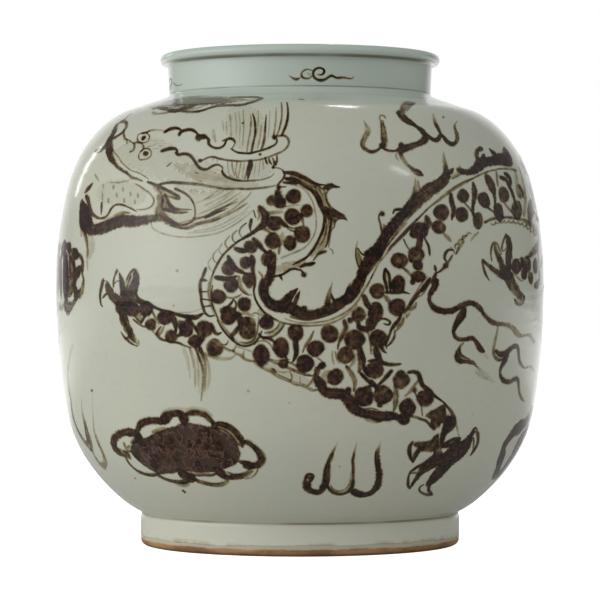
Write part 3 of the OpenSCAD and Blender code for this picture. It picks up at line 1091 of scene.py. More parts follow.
MANE = [
    line([2.4, 2.4, 1.8], [0.85, 0.6], -122, 289, -118, 287.5, -112, 285, -106, 282, -100, 279, -97, 277,
         -96.5, 275.7, -100, 276, -105, 277.2, -108, 278.3),
    line([3, 5.5, 2], 0.45, -114, 284, -108, 281, -98, 277.3),
    line([3, 4.5, 5, 5, 4], 0.42, -117, 285, -113, 281, -112, 276, -112, 271, -114, 266, -115, 261.5),
    line([2.4, 2, 1.6], 0.72, -108, 278.5, -105.5, 274, -104, 270.5, -101, 268, -97, 267, -92, 266.8,
         -87, 266.8),
    line([3.4, 2.4, 1.8], 0.72, -109.5, 267, -105, 266.3, -100, 264.8, -95, 264.3, -90, 264.8),
    line([4, 7, 6, 2], 0.55, -109, 277, -108, 270, -102, 267, -97, 266),
    line([5, 4.5, 3, 1.5], 0.6, -111, 264, -107, 260, -103, 257, -99, 255, -96, 254, -91, 255, -86, 257.5),
    line(1.6, 0.6, -104, 254, -99, 252.5, -93, 251.5, -88, 252, -83, 254.5, -77, 256, -70, 257.5, -63, 260),
    line([2.6, 1.5, 1.4, 1.4], [0.85, 0.5], -100, 283.5, -96, 281.8, -91, 279, -87.5, 275.5, -85, 271,
         -84, 266, -84.3, 261, -86, 257.5, -90, 255.5, -96, 254.3),
    line(1.4, 0.3, -119, 255, -118, 252, -113, 249, -106, 246.5, -98, 245, -88, 244.7, -78, 245.8,
         -68, 247.5, -60, 250.5, -52, 255, -45, 260, -38, 266),
    line(1.5, 0.5, -96, 256, -88, 258, -80, 260, -72, 263, -66, 267, -58, 270, -50, 273),
    line([2, 3.4, 1.5], 0.55, -76, 260.5, -70, 264, -65, 266, -58, 268),
    line(1.6, 0.72, -76, 260, -72, 261.5, -66, 264.5, -60, 266.5),
    line(1.7, 0.45, -96, 252, -89, 253, -84, 255.5, -76, 257, -68, 259, -60, 262, -50, 267, -42, 272),
    line(1.2, 0.22, -90, 248, -76, 249, -64, 252, -52, 258, -42, 266),
    line(1.2, 0.25, -85, 249.5, -75, 251, -65, 254, -55, 259, -47, 264, -40, 270),
    line(1.3, 0.35, -80, 257, -70, 259.5, -62, 263, -54, 267, -48, 272, -42, 277, -39, 281),
    line(1.4, 0.45, -86, 260, -78, 261, -70, 264, -62, 268, -55, 272, -50, 275.5),
    line([2.4, 1.4], 0.25, -76, 275, -70, 277, -64, 280, -60, 283),
    line(1.3, 0.3, -76, 270, -68, 274, -60, 278, -54, 282),
    line(1.2, 0.2, -73, 268, -64, 273, -57, 278, -52, 282),
    line(1.3, 0.3, -82, 263, -74, 266, -65, 270, -56, 275, -47, 281),
    line(1.1, 0.25, -83, 272, -76, 275, -69, 279.5, -64, 283),
]
COLLAR_CLOUD = [
    line([6, 11, 9, 5], 0.5, -113, 350.5, -97, 352, -75, 353.5, -48, 354.5),
    line([3, 6, 7, 4], 0.85, -110, 351, -96, 352.5, -78, 353.5, -58, 354),
    line([2, 3, 3, 2], 0.9, -104, 346.5, -98, 346.5, -92, 348.5, -84, 350),
    line(1.7, 0.75, -112, 349, -106, 347, -98, 346, -92, 345.5, -85, 345.3, -79, 346, -73, 348, -66, 350,
         -56, 350.5, -46, 351, -40, 352.5, -34, 354.5, -31.5, 356, -36, 357, -45, 357, -55, 357),
    line(1.2, 0.5, -95, 347.5, -90, 347.6, -84, 348, -78, 349.5),
    line(1.3, 0.45, -118, 345, -115, 343.5, -108, 344.3, -101, 345.5),
    line(1.3, 0.5, -117, 347.5, -112, 350, -104, 354, -94, 356, -80, 357),
    line(1.2, 0.45, -45, 355, -40, 354.5, -37, 355),
]

NECK_WASH = [
    line([6, 7, 7, 6], 0.3, -20, 219, -12, 220.5, -4, 222, 4, 224),
    line([3, 4, 4], 0.3, -33, 186, -28, 183, -22, 180),
    line([3, 3, 3], 0.28, -71, 212, -73, 204, -73, 196),
    line([5, 6, 5], 0.62, -6, 294, 4, 289.5, 12, 285),
    line([6, 7, 7, 8], 0.5, 14, 284, 17, 277, 19, 270, 23, 263, 27, 259),
]
NECK = [
    line([4.5, 6, 6, 5, 3.5, 2.5, 2, 1.8], 1.0, -32, 268.5, -28.5, 264, -27.5, 259, -29.5, 254.5,
         -33.5, 251.5, -39, 247.5, -45, 244, -51, 240.5),
    line([1.9, 1.8, 2], 0.85, -49, 241.8, -56, 236, -61, 231, -65, 225, -68.5, 218.5, -70.5, 213),
    line([2.2, 3, 3, 2.4], 0.5, -70.5, 213, -72, 208, -72.5, 202, -72, 196, -70.5, 190, -68, 184, -65, 178),
    line(1.2, 0.75, -70, 206, -71, 198, -70, 190, -67.5, 184, -65.5, 179),
    line(1.3, 0.6, -37, 266, -36, 262, -35, 260),
    line([1.4, 1.6], 0.45, -34, 266, -32.5, 262, -34, 258),
    line([3.2, 2, 1.2], 0.85, -39, 258.5, -40, 253, -39.5, 249),
    line(1.3, 0.6, -43, 256, -47.5, 252, -48.5, 248, -46.5, 244.5),
    line(1.3, 0.5, -50.5, 250, -54, 246.5, -53.5, 242, -51, 240),
    line(1.3, 0.45, -56.5, 245.5, -60, 240.5, -58.5, 236.5, -56.5, 235),
    line(1.2, 0.4, -62.5, 239.5, -65, 234.5, -63, 231, -61.5, 230),
    line(1.2, 0.4, -66, 235, -69.5, 230.5, -69, 226, -66.5, 224),
    line(1.1, 0.35, -71, 228, -73.5, 224, -72.5, 220, -70.5, 217.5),
    line([3, 2.4, 2, 2], 0.85, -75.5, 219.5, -77, 215.5, -78.5, 211.5, -80, 208, -80, 203, -79.3, 198,
         -79, 193, -77.5, 188, -76, 184, -72.5, 181.5, -68.5, 182),
    line(2.2, 0.9, -79, 210.5, -74.5, 210),
    line(1.3, 0.7, -79, 201, -74, 201),
    line(1.4, 0.8, -79.5, 195.5, -74, 194.5, -70, 194),
    line(1.4, 0.7, -77, 189, -71, 190),
    line([1.6, 2, 2], [0.6, 0.85], -33, 217, -30, 213, -32, 207, -32.5, 201, -30, 194.5, -25, 190),
    line([2, 1.6, 1.6], 0.85, -38.5, 219, -37, 214, -36, 208, -37, 202, -36, 196, -33, 190, -29, 185,
         -24, 181, -18, 178.5),
    line([5, 7, 7.5, 7, 8, 9, 10, 9], [1, 1, 0.95], -24.5, 222, -23.5, 216, -25, 211, -28, 206, -28.5, 200,
         -26, 194, -21, 190, -14, 189, -6, 188, 0, 186),
    line([8, 7, 5, 3], 0.98, -14, 191, -10, 195, -6.5, 199, -2, 203.5),
    line([4, 3, 1], 0.9, -4, 192, -2, 197, 0, 202),
    line(1.9, 0.85, -22, 213, -15, 214.5, -11, 216.5, -8, 218.7, -4, 219.3, 0, 218),
    line([3, 2, 1], 0.85, -16, 214, -15, 212, -14, 210),
    line([2.6, 1.2], 0.5, -49, 213, -48, 209, -47, 205, -44, 201, -40, 198.5, -38, 198.5),
    line(1.3, 0.8, -50, 206, -46, 201, -41, 198),
    line(1.6, 0.55, -60, 197, -55, 196, -50, 197, -47, 199),
    line([2.4, 2, 1.2], 0.85, -59, 188, -55, 192, -53, 196),
    line([2.6, 2, 1.2], 0.85, -52, 187, -51, 191, -53, 195),
    line([3, 4], [0.3, 0.6], -14, 248, -14.5, 244, -16, 238),
    line([3, 2], 0.65, -16.5, 237, -17, 231),
    line(2.5, 0.45, -30, 251.5, -26, 250, -24, 248.5),
    line([3.4, 2.6], 0.45, -25, 264, -20, 264.5, -14, 265),
    line(1.3, 0.35, -28, 251, -24, 248.5, -19, 248),
    line(1.2, 0.35, -13, 269, -6, 270, 0, 270.5),
    line([4.5, 3.6], 0.95, -16, 258, -13.5, 255.5, -10, 253),
    line([1.5, 1.2], 0.5, -11, 254, -6, 252, 0, 252.5),
    line([1.8, 1.4], 0.55, -10, 251.5, -5, 249.5, 0, 250),
    line([2, 1], 0.3, -15, 228, -8, 231, 0, 235),
    line([7, 5], 0.98, -17.5, 280.5, -17, 276, -15, 271),
    line([4, 4, 3, 2.2], 0.98, -37, 243, -33, 239, -30, 235, -26, 232),
    line([4.4, 3.6], 0.98, -51.5, 235.5, -47, 234, -42, 233.5),
    line([3.6, 4.4, 3.6, 2.4, 1.8], 0.98, -57.5, 229, -55, 224, -51, 219, -47, 217, -44, 215.8, -40, 215.3),
    line([4, 3.4], 0.98, -67.5, 212.5, -61, 211.5, -54, 212, -51, 213.5),
    line([4, 3.6, 2.6], 0.9, -38.5, 229, -37.5, 225, -38, 219, -36.5, 213),
    line([3, 5], 0.95, -20.5, 224, -22, 218, -24, 213),
    line([4, 5], 0.95, -24, 233, -25, 227, -28, 223),
]
NECK_DOTS = [
    dot(-22.5, 274, 4.1, 0.9), dot(-16, 272.5, 4.8), dot(-5, 277.5, 5.9), dot(-6, 261.3, 6.3),
    dot(-20.8, 256, 6), dot(-21.8, 241.5, 5.9, 0.97, 1.1), dot(-8, 240, 5.4), dot(-39.5, 237, 5),
    dot(-25, 227.5, 6, 0.9), dot(-43.5, 224, 4.8), dot(-57.2, 220, 5.7), dot(-40.8, 211, 5.3),
    dot(-55, 206.5, 5.5), dot(-65.7, 197.3, 6), dot(-44.5, 191, 5.5), dot(-57, 183, 6),
    dot(-40.5, 206.5, 2.6),
]
CREST = [
    line([2.6, 3.4, 3, 2.4, 2], [0.95, 0.95, 0.85, 0.7], -12.5, 296.5, -5, 296, 0, 294, 5, 291.5, 10, 288.5,
         15, 286.8, 20, 286.5),
    line([3, 3, 2.6, 2.6, 2.6], [0.95, 0.95, 0.9], -11, 291.5, -5, 290.5, 0, 288, 5, 285, 9, 282.5, 12, 279,
         14, 275, 16, 270, 18.5, 266, 20, 261, 20, 257),
    line([1.4, 1.8, 1.8], [0.6, 0.75], 14, 286, 18.5, 283, 20.5, 279, 21.5, 274, 24, 269.5, 28, 266,
         33, 262.5, 37, 258.5),
    line(1.6, 0.75, 13, 281, 16, 276, 18, 270, 21, 264, 24, 259),
    line([4, 5, 3.4, 2, 2.6], 0.9, 20, 284, 22.5, 285, 26, 286, 28.5, 285, 31.5, 284.8),
    line([2.4, 1.2], 0.6, 22.5, 283, 21, 279),
    line(1.3, 0.32, -8, 287, 0, 285, 5, 281.5, 8, 277, 10.5, 272, 12, 266, 13, 259, 13, 252),
    line([2.6, 1.6], 0.9, -13, 288.5, -6, 288, -2, 287),
]
FLAME_TOP = [
    line([1, 2.5, 4.5, 4, 3, 2.8, 2.8, 2.4, 2.2], [0.3, 0.4, 0.5, 0.75, 0.85, 0.85], 51, 338, 53.5, 333.5,
         54.5, 330, 52.5, 326, 50.5, 321, 50.8, 317, 53.5, 314.5, 58, 313, 62, 314.5, 66, 318),
    line(1.2, 0.55, 51, 325, 49, 321, 49, 317.5, 51.5, 314),
    line(1.2, 0.5, 64.2, 338, 63.8, 341, 65, 342.5, 67, 342.2, 68.6, 340),
    line([3, 3, 4.2, 4.4, 4], [0.5, 0.6, 0.7, 0.9], 65.8, 338, 66, 334, 67, 329, 67.3, 324, 67, 320,
         66, 317),
    line(1.1, 0.6, 65, 334, 65.2, 328, 65, 322),
    line(1.1, 0.35, 68.3, 334, 69, 327, 70, 322, 70, 317),
    dot(66.2, 318, 2.5),
    line([2.2, 1.8, 2], 0.85, 66, 316.5, 69, 314.7, 72.5, 313.8, 76, 313.8, 78, 315),
    line([4, 7, 5, 4.4], 0.97, 78.5, 314, 81, 314.5, 85, 316, 90, 317.8, 96, 320),
    dot(81.3, 318.6, 2),
    line([4, 3, 2.2, 2.4, 3], [0.95, 0.55, 0.5, 0.75, 0.9], 80.5, 312, 81.5, 309, 84, 305, 87.5, 301.5,
         91, 299, 96, 297.5),
    line(1.5, 0.35, 77, 312, 77, 309, 79, 306),
    line([3, 4, 6, 5, 3.4, 3], [0.55, 0.7, 0.95, 0.95], 88.5, 353, 85, 350.5, 82, 346.5, 81, 343, 84, 339.5,
         88.5, 336.5, 92.5, 334, 96, 331.5),
    line(1.2, 0.5, 90, 352, 88, 349, 85.5, 345.5),
    line(1.8, 0.8, 79, 346, 78.6, 343.5, 80.5, 341.5),
    line(1.2, 0.5, 0.3, 355.2, 3, 355),
]

FIN_WASH = [
    line([7, 6, 7, 8, 7, 6], 0.4, 22, 264, 22, 257, 21, 250, 19, 243, 15.5, 236.5, 9, 230.5),
    line([6, 5, 3], 0.45, 27, 262, 25.5, 257, 24, 251),
    line([4, 5], 0.35, 3, 226.5, -4, 222),
    line([3, 4, 3], 0.3, 122, 292.5, 125, 294, 129, 296),
]
CREST += [
    line([3, 5, 4, 2], [0.8, 0.8, 0.7], 20, 268.5, 24.5, 264.5, 30, 261.5, 34, 259.5),
    line([1.4, 2, 2.4, 1], 0.7, 27, 267, 31, 264, 35, 261.5, 38, 257.5),
    line([1.2, 1.4, 1.4], 0.7, 36, 259, 32.5, 259.5, 29.5, 258.5, 28, 256, 27.5, 252.5),
    line(1.3, 0.55, 27.5, 253, 25, 250, 24, 246, 23.5, 241, 23, 236.5),
    line(1.4, 0.65, 22, 266, 25, 260, 24.5, 253, 23, 246, 22, 240, 20.5, 236),
    line(1.2, 0.5, 21, 258, 21, 250, 19, 243, 16, 238),
    line([2, 2, 1.8], 0.82, 20, 264, 19.3, 257, 18.5, 251, 16, 245, 13, 239, 9, 233, 5, 228.5, 0, 225.5,
         -6, 222.5),
    line([2.8, 2.4, 1.8, 1.6], 0.75, 20.5, 233.3, 17.5, 232.5, 14, 230.5, 12, 228, 10.5, 225.8),
    line(1.2, 0.4, 24, 235.5, 26, 234, 26.5, 231),
    line([2.4, 3, 3.2, 3.6], 0.97, 0.5, 221, 4, 222.5, 8, 223, 11.5, 224),
    line([1.4, 1.8], 0.9, 0, 219, 2, 217, 3, 215),
    dot(3, 214.8, 1.9),
    line(1.3, 0.35, 13, 258, 12.3, 250, 10, 244, 6, 238.5, 0, 234, -6, 231),
    line([2.4, 2.2, 1.6], 0.65, 1, 263, 2, 258, 3, 253),
    line([8, 10, 9, 9, 8, 9, 9, 9], [1, 1, 0.97, 1, 0.97, 0.95], 48, 212, 51.5, 219, 55, 225, 60, 230,
         63.5, 236, 67, 243, 71, 249, 75, 254, 80, 260, 85, 264),
    line([4, 5, 5], 0.95, 53, 232, 58, 234, 62, 238),
    line([6, 4.5, 3, 1.8, 1], [0.75, 0.65, 0.6, 0.5, 0.25], 50.5, 219, 48, 226, 46.3, 231, 45.2, 236,
         46.3, 242),
    line(1.2, 0.75, 44.8, 236, 44.6, 230, 45.8, 224, 47, 220),
    line(1.4, 0.85, 46.2, 236, 48.5, 232.5, 51.5, 230.3, 54, 232, 56.8, 236.2, 58.6, 235, 60.5, 235.5),
    line([5, 4, 2.4], [0.95, 0.75, 0.6], 70, 246, 68.7, 250, 67, 255),
    line([2.4, 1.6, 1.4, 1.6, 2], 0.8, 66.5, 246, 65.2, 251, 64.3, 255.5, 63.2, 259, 63.4, 262.5,
         65.3, 264.5),
    dot(65.8, 263.6, 2),
    line([6, 5, 5], [0.97, 0.97], 74, 252, 77.5, 258, 80.5, 264),
    line([1.8, 2.2, 2.6], 0.92, 74.6, 263.8, 75.6, 266.2, 79, 267, 84, 266.5),
    line([10, 11, 10, 8.5, 8], [0.97, 0.8, 0.85, 0.9], 85, 265, 90, 270, 95, 275, 101, 280, 107, 284,
         112, 287.5, 116, 291, 119, 295),
    line([5, 4.5, 3, 1.6], [0.7, 0.6, 0.5, 0.35], 90, 273, 92, 279, 92.5, 285, 92.5, 292),
    line(1.6, 0.5, 98, 281, 95.5, 284.5, 94.5, 290),
    line([4, 3, 2], 0.7, 99, 284, 103.5, 287, 107, 288),
    line([5, 3.4, 2.6, 1.4], [0.8, 0.65, 0.5, 0.3], 117.5, 295, 116.5, 302, 115.5, 307, 115, 313),
    line([3, 3.6, 2], 0.92, 118, 296.5, 121, 297.3, 123, 300),
    line([2, 1.8, 1.4], 0.6, 113, 293, 116.5, 299, 116, 304),
    line(1.6, 0.45, 122, 291.5, 126, 294, 130, 295.5),
    line([4.5, 4.5, 5, 6.5, 9, 8, 6, 7, 6, 4], 0.95, 127, 298.5, 131, 297, 136, 297, 140, 299, 144, 303,
         148, 305, 153, 305.5, 158, 306.5, 163, 306.8, 168.5, 304),
    line([1.8, 1], 0.4, 128, 299, 128, 302.5),
    line([4, 2.4, 1.8], 0.8, 143, 306, 141.3, 310, 142.3, 314, 144, 317),
    dot(144.7, 315.3, 1.9),
    line([4, 2], 0.95, 147, 307, 147.8, 311),
    line([2.6, 2.8, 4], 0.95, 153, 314, 155.3, 311.5, 158.5, 308.5),
    line([4, 3, 3, 4, 4], 0.75, 160, 309, 163, 311.5, 165.5, 313.5, 167, 310, 169, 305.5),
    line([3, 4], 0.7, 165, 306, 168, 309.5),
    line(1.5, 0.55, 52, 212.5, 58, 219.5, 64, 228, 68, 235, 74, 243.5, 80, 251.5, 86, 259, 92, 265),
    line([1.5, 1.3, 1.5, 2.8, 2.8, 1.5, 1.4, 2.6, 2.6, 1.5, 1.3, 1.3, 1.3],
         [0.6, 0.5, 0.8, 0.85, 0.5, 0.8, 0.6, 0.5], 57, 212, 60, 218, 63.5, 224.5, 69, 231, 73, 237,
         79, 243, 85, 249.5, 90, 255, 97, 262, 104, 269, 110, 273.5, 117, 279, 124, 284, 131, 288,
         138, 291.5, 146, 295.5, 153, 298, 160, 299.4, 167, 299.5, 174, 298),
    line(1.2, 0.4, 62, 226, 66, 233, 72, 240.5, 79, 248.5, 86, 256.5),
]
FLAME_TOP += [
    line([4.4, 5.4, 5.6, 4.5], 0.97, 94, 319.3, 98, 321, 100.5, 324, 100, 328),
    line([3, 3.4, 4.5], 0.97, 94, 333, 97.5, 330.5, 100, 326.5),
    line([3.4, 3, 3, 3.6, 3.4], 0.97, 100.5, 327.5, 104, 324.5, 107.5, 322.5, 110.5, 323, 112.5, 327),
    line([1, 1.6, 2.4, 2.6], [0.3, 0.8, 0.97], 106.5, 343.5, 107.6, 339, 109.5, 334, 112.5, 327.5),
    line([2.6, 3, 3.6, 2.8, 2.6, 2, 1.6, 1], [0.97, 0.97, 0.97, 0.8, 0.7, 0.5, 0.3], 113, 327, 115.5, 324.5,
         118, 321.3, 121, 319.3, 124, 319.8, 126, 324, 125.3, 328.5, 124, 332, 124.3, 335.5, 126.5, 338.5),
    line([2, 3, 1], 0.9, 119, 320.5, 122.3, 319.3, 125, 321.5),
    line([3, 4.6, 4], [0.6, 0.95], 90, 297.8, 94.5, 296.5, 98, 294.5),
    dot(114.8, 341, 0.9, 0.6),
]
BODY_RIGHT = [
    dot(5.5, 265.8, 5), dot(1.5, 247.2, 6.4), dot(79.5, 226, 6.4), dot(95.5, 250.3, 6.6, 0.93),
    dot(90.5, 247, 2.6), dot(92.8, 230.5, 6.6, 0.93), dot(94.5, 222, 3.8), dot(111, 252.5, 5.2),
    dot(113.5, 264.5, 6.3), dot(130.5, 277.5, 5.4, 0.95, 0.85, 100), dot(130, 263, 6, 0.95, 0.8, 95),
    dot(147.3, 274.5, 6.4, 0.95, 0.72, 112), dot(142.5, 258, 6.6, 0.95, 0.6, 92),
    dot(159, 264.5, 6.8, 0.95, 0.58, 98), dot(163.3, 278.8, 6.6, 0.95, 0.62, 100),
    dot(173.7, 266.7, 7.4, 0.95, 0.52, 94), dot(176, 281, 5.2, 0.6, 0.55, 100),
    line([6, 5, 6], 0.93, 96, 247, 96, 241, 94, 235),
    line([3.4, 4, 3], 0.8, 101.5, 261, 103, 257, 103.5, 252),
    line([1.4, 1.6], 0.7, 83, 243, 85, 238.5, 87.5, 234.5),
    line([3.5, 3.8, 3.4, 3], 0.95, 121, 278.5, 121.5, 273, 123, 267, 121.5, 259),
    line([3.4, 4.6, 3.4, 2, 2.4, 3], 0.97, 139, 287, 140, 282, 139.5, 276, 138.5, 269, 139, 263, 141, 257),
    line([1.4, 1.6], 0.7, 132, 272, 136, 267.5, 139, 263),
    line([5, 7, 6, 2.6, 2, 1.8], 0.9, 149.8, 292.5, 151.8, 289, 154, 284.5, 155.3, 280, 156.3, 274,
         155.5, 268),
    line([1.4, 1.6], 0.7, 149.5, 269, 153.5, 266, 156, 264),
    line(1.6, 0.6, 157.3, 297, 158, 291, 158.5, 285.5),
    line([2.6, 2.2], 0.95, 160.5, 292.5, 164, 291.3, 167, 289),
    line([2, 2.8, 2.4], 0.95, 164, 295.5, 167.5, 293, 168.5, 289, 167, 287),
    line([2, 2.4, 2.2], 0.95, 166, 288, 169, 282.5, 171, 277.5, 172, 273),
    line(1.4, 0.5, 163, 273, 167, 268, 171, 263.5),
    line([1.6, 2], 0.6, 175, 286, 178, 282, 179, 277),
    line(1.7, 0.4, 172, 298, 173.5, 292, 173, 286),
    line(1.9, 0.45, 176, 299, 178.5, 290, 180.3, 280, 180.3, 270, 179, 262),
    line([1.4, 2.2, 2], 0.5, 183, 291, 186, 279, 185, 270),
    line([3, 4, 3], 0.75, 185, 272, 184, 263, 184, 255),
    line([2.6, 2, 2], [0.85, 0.6], 148, 256.5, 152, 258.5, 158, 260.3, 165, 260.6, 172, 260, 179, 258.5),
    line([3, 2], 0.5, 101, 260.5, 100, 256),
    line([1.8, 1.6, 2], [0.6, 0.5], 179, 258.5, 183, 256, 187, 252.5, 190, 248.5),
    line([1.4, 2], 0.5, 183, 256, 185, 262, 187.5, 268),
    line([1.2, 1.6, 1.2], 0.45, 188, 284, 189, 272, 190, 258),
]
BODY_RIGHT += scallops(1.2, 0.5, 1.6, 153, 255.5, 156.5, 257, 160, 257.8, 163.6, 258, 167.3, 258,
    171, 257.8, 174.7, 257, 178.3, 256, 181.6, 254.3, 184.6, 252, 187.4, 249.5, 190, 247)
BODY_RIGHT += scallops(1.4, 0.55, 1.8, 137, 247.5, 133.5, 245.5, 130.2, 242.6, 127.2, 239.2, 124.6, 235.4)

CREST += [
    line([8, 8.5, 8, 7.5, 8, 9, 10], [0.9, 0.85, 0.85, 0.95], -6, 185, 2, 182.8, 9, 182.5, 16, 184.3,
         23, 187, 30, 190, 36, 193.5),
    line([9, 9, 8, 9], [0.9, 0.97], 36, 194, 41, 198, 44, 203, 47.5, 209, 51, 216),
    dot(3.4, 187.4, 2.3),
    line([5.5, 4, 2, 1], [0.9, 0.75, 0.5, 0.25], 21.5, 190, 23, 197, 24.2, 203, 26.2, 209),
    line([2, 2.4], 0.88, 25, 199, 26.5, 195.2, 29, 192),
    line([3, 4], 0.95, 29, 194.5, 33, 195, 36, 198),
    line([6, 3.6, 1.4], [0.8, 0.65, 0.5], 40, 198, 39.3, 204, 40.6, 208.3),
    line(2, 0.85, 35.5, 196, 37, 200, 38.8, 205),
    line([3, 2.4], 0.9, 41.5, 204, 44, 206, 46.5, 210),
    line(1.6, 0.6, -8, 181, 0, 179, 8, 178.5, 15, 180, 23, 182.5, 30, 186, 37, 191),
    line([1.4, 1.4, 1.8, 1.5], [0.4, 0.5, 0.6], -12, 179.5, -5, 177, 2, 176, 9, 176, 16, 176.7, 23, 178,
         30, 181, 36, 184, 42, 188.5, 47, 194.5, 51, 201.5, 55, 208, 58.5, 215),
    line([1.7, 1.5, 1.8], [0.75, 0.5, 0.45], -22, 179.5, -15, 176.5, -8, 175, 0, 174, 9, 173.8, 18, 174.5,
         25, 176, 31, 178.5, 36, 181.5, 41, 185.5, 46, 190.5),
]
BODY_MIDDLE = [
    dot(62, 201.5, 5.9), dot(78.5, 206.5, 7, 0.93, 0.8, 85), dot(77.8, 188.5, 6.7),
    dot(47, 182.3, 5.7, 0.9), dot(40.3, 178.2, 2.2), dot(60.5, 184.5, 8, 0.9, 0.75, 80), dot(57, 176, 4.5),
    dot(63, 163, 7, 0.9), dot(43.8, 162.5, 7.8, 0.93), dot(23.8, 167.2, 7), dot(12.5, 155.5, 6.3),
    dot(36.5, 150.5, 6.5, 0.88), dot(94.5, 213.3, 5.8, 0.95, 0.75, 0), dot(90.3, 208.8, 2.1),
    dot(-42.3, 172, 9, 0.92, 0.8, 92), dot(-57, 181.3, 6.4), dot(-26.5, 176.6, 5.6),
    dot(-76.8, 171.5, 6.6, 0.88), dot(-84, 161, 5, 0.85), dot(-68.3, 156.5, 6.8, 0.88),
    dot(-31, 150.5, 8.3, 0.92, 0.75, 90), dot(-15, 156.5, 7.8, 0.93, 0.82, 88), dot(-3.3, 168, 6.2),
    dot(3.6, 143.5, 6.9), dot(-14, 143.2, 3.5, 0.9),
    line([2.4, 2.6, 2.4], 0.92, 67.8, 218.5, 67.5, 212, 69, 206, 70, 200.5),
    line([2, 2.4, 2.4], 0.88, 68.5, 219.6, 71.3, 215, 72, 208, 72.3, 201.5),
    line(3, 0.35, 69.5, 216, 70, 210, 71, 204),
    line([2.6, 2.6, 1.4], 0.88, 69, 200.4, 76, 200.5, 83, 200.6, 88, 199.3),
    line([2.6, 3, 2.6], 0.9, 81, 183, 79, 178, 75.5, 174, 72, 169),
    line([4, 4, 5], 0.95, 46.5, 176.5, 48, 172.5, 53, 171, 59, 172),
    line([4.4, 5, 4.6], 0.95, 51.5, 197, 53.5, 192, 57, 187),
    line(1.9, 0.85, 65, 179.5, 69, 179, 72.3, 176.5, 71, 174.6, 67, 175.5),
    line([4, 4.4, 3.6, 2.6, 2], [0.95, 0.6, 0.7, 0.75], 35.5, 177.5, 36.8, 172.5, 34.5, 167, 31.5, 161,
         30, 155),
    line([4.4, 4], 0.92, 46, 158, 48.3, 153, 50, 147),
    line([1.8, 2.2, 2], 0.6, 51, 172, 54.5, 168, 56.3, 162, 56.8, 156, 57, 151),
    line([1.6, 2.6, 1.8], 0.6, 11, 169.5, 8.5, 164, 4.5, 158, 2, 152.5),
    line([4, 3, 2], 0.6, 68.5, 197, 71.5, 192.5, 73, 188),
    line([1.8, 2], 0.8, 100, 243.5, 103, 237.5, 104, 230),
    line([1.8, 2.4], 0.65, 82, 220.5, 86, 217.3, 89, 214),
    line([3.6, 2, 1.6], [0.9, 0.7], 65, 157, 67.5, 153, 69.5, 152),
    line([4.6, 4.8], 0.9, 61, 156, 62.5, 150, 64, 146),
    line([5, 5, 4], 0.97, -49.5, 183, -48, 178, -48.5, 171),
    line([3.6, 3.4, 2.6], 0.88, -50, 172, -52, 168.5, -55, 165.3, -53, 162.5),
    line([4, 2.6, 2], 0.88, -71, 174.5, -69, 169.5, -66, 167, -63, 168.4),
    line([5, 4, 3.4], 0.85, -77, 166, -79, 162, -81, 158),
    line(1.4, 0.6, -63, 159, -60, 158.5, -58, 160, -57.3, 162.3),
    line(2.2, 0.5, -61, 156.5, -58, 154.6, -53, 153),
    line([1.8, 2, 1.6], 0.72, -30, 164, -23, 165, -18, 168, -14.3, 172, -12, 175.7),
    line(1.6, 0.6, -28, 168, -22, 169.3, -18.3, 172.5, -16.3, 176),
    line(3, 0.35, -25, 167, -19, 170.5, -14.5, 175),
    line([2, 2.6, 2], 0.85, -33, 167, -30, 164.3, -26, 164, -22, 162, -19.5, 159),
    line(1.4, 0.5, -37, 158.5, -33, 161.3, -28, 161.6, -24, 159, -21.5, 154),
    line([5, 4, 3.6, 2.6, 1.6], 0.96, -4, 163, -3.3, 157, -3, 152, -4.5, 147.5, -6.3, 144),
    line(1.9, 0.8, -12, 150, -10.3, 146, -10.5, 141),
    line([5, 4], 0.92, -62.5, 186, -58, 187.3),
    line(1.5, 0.5, -38, 183.5, -35, 184, -31, 182),
    line([2, 2.4], 0.5, -48, 183.5, -42, 183.5, -37, 181.5),
]
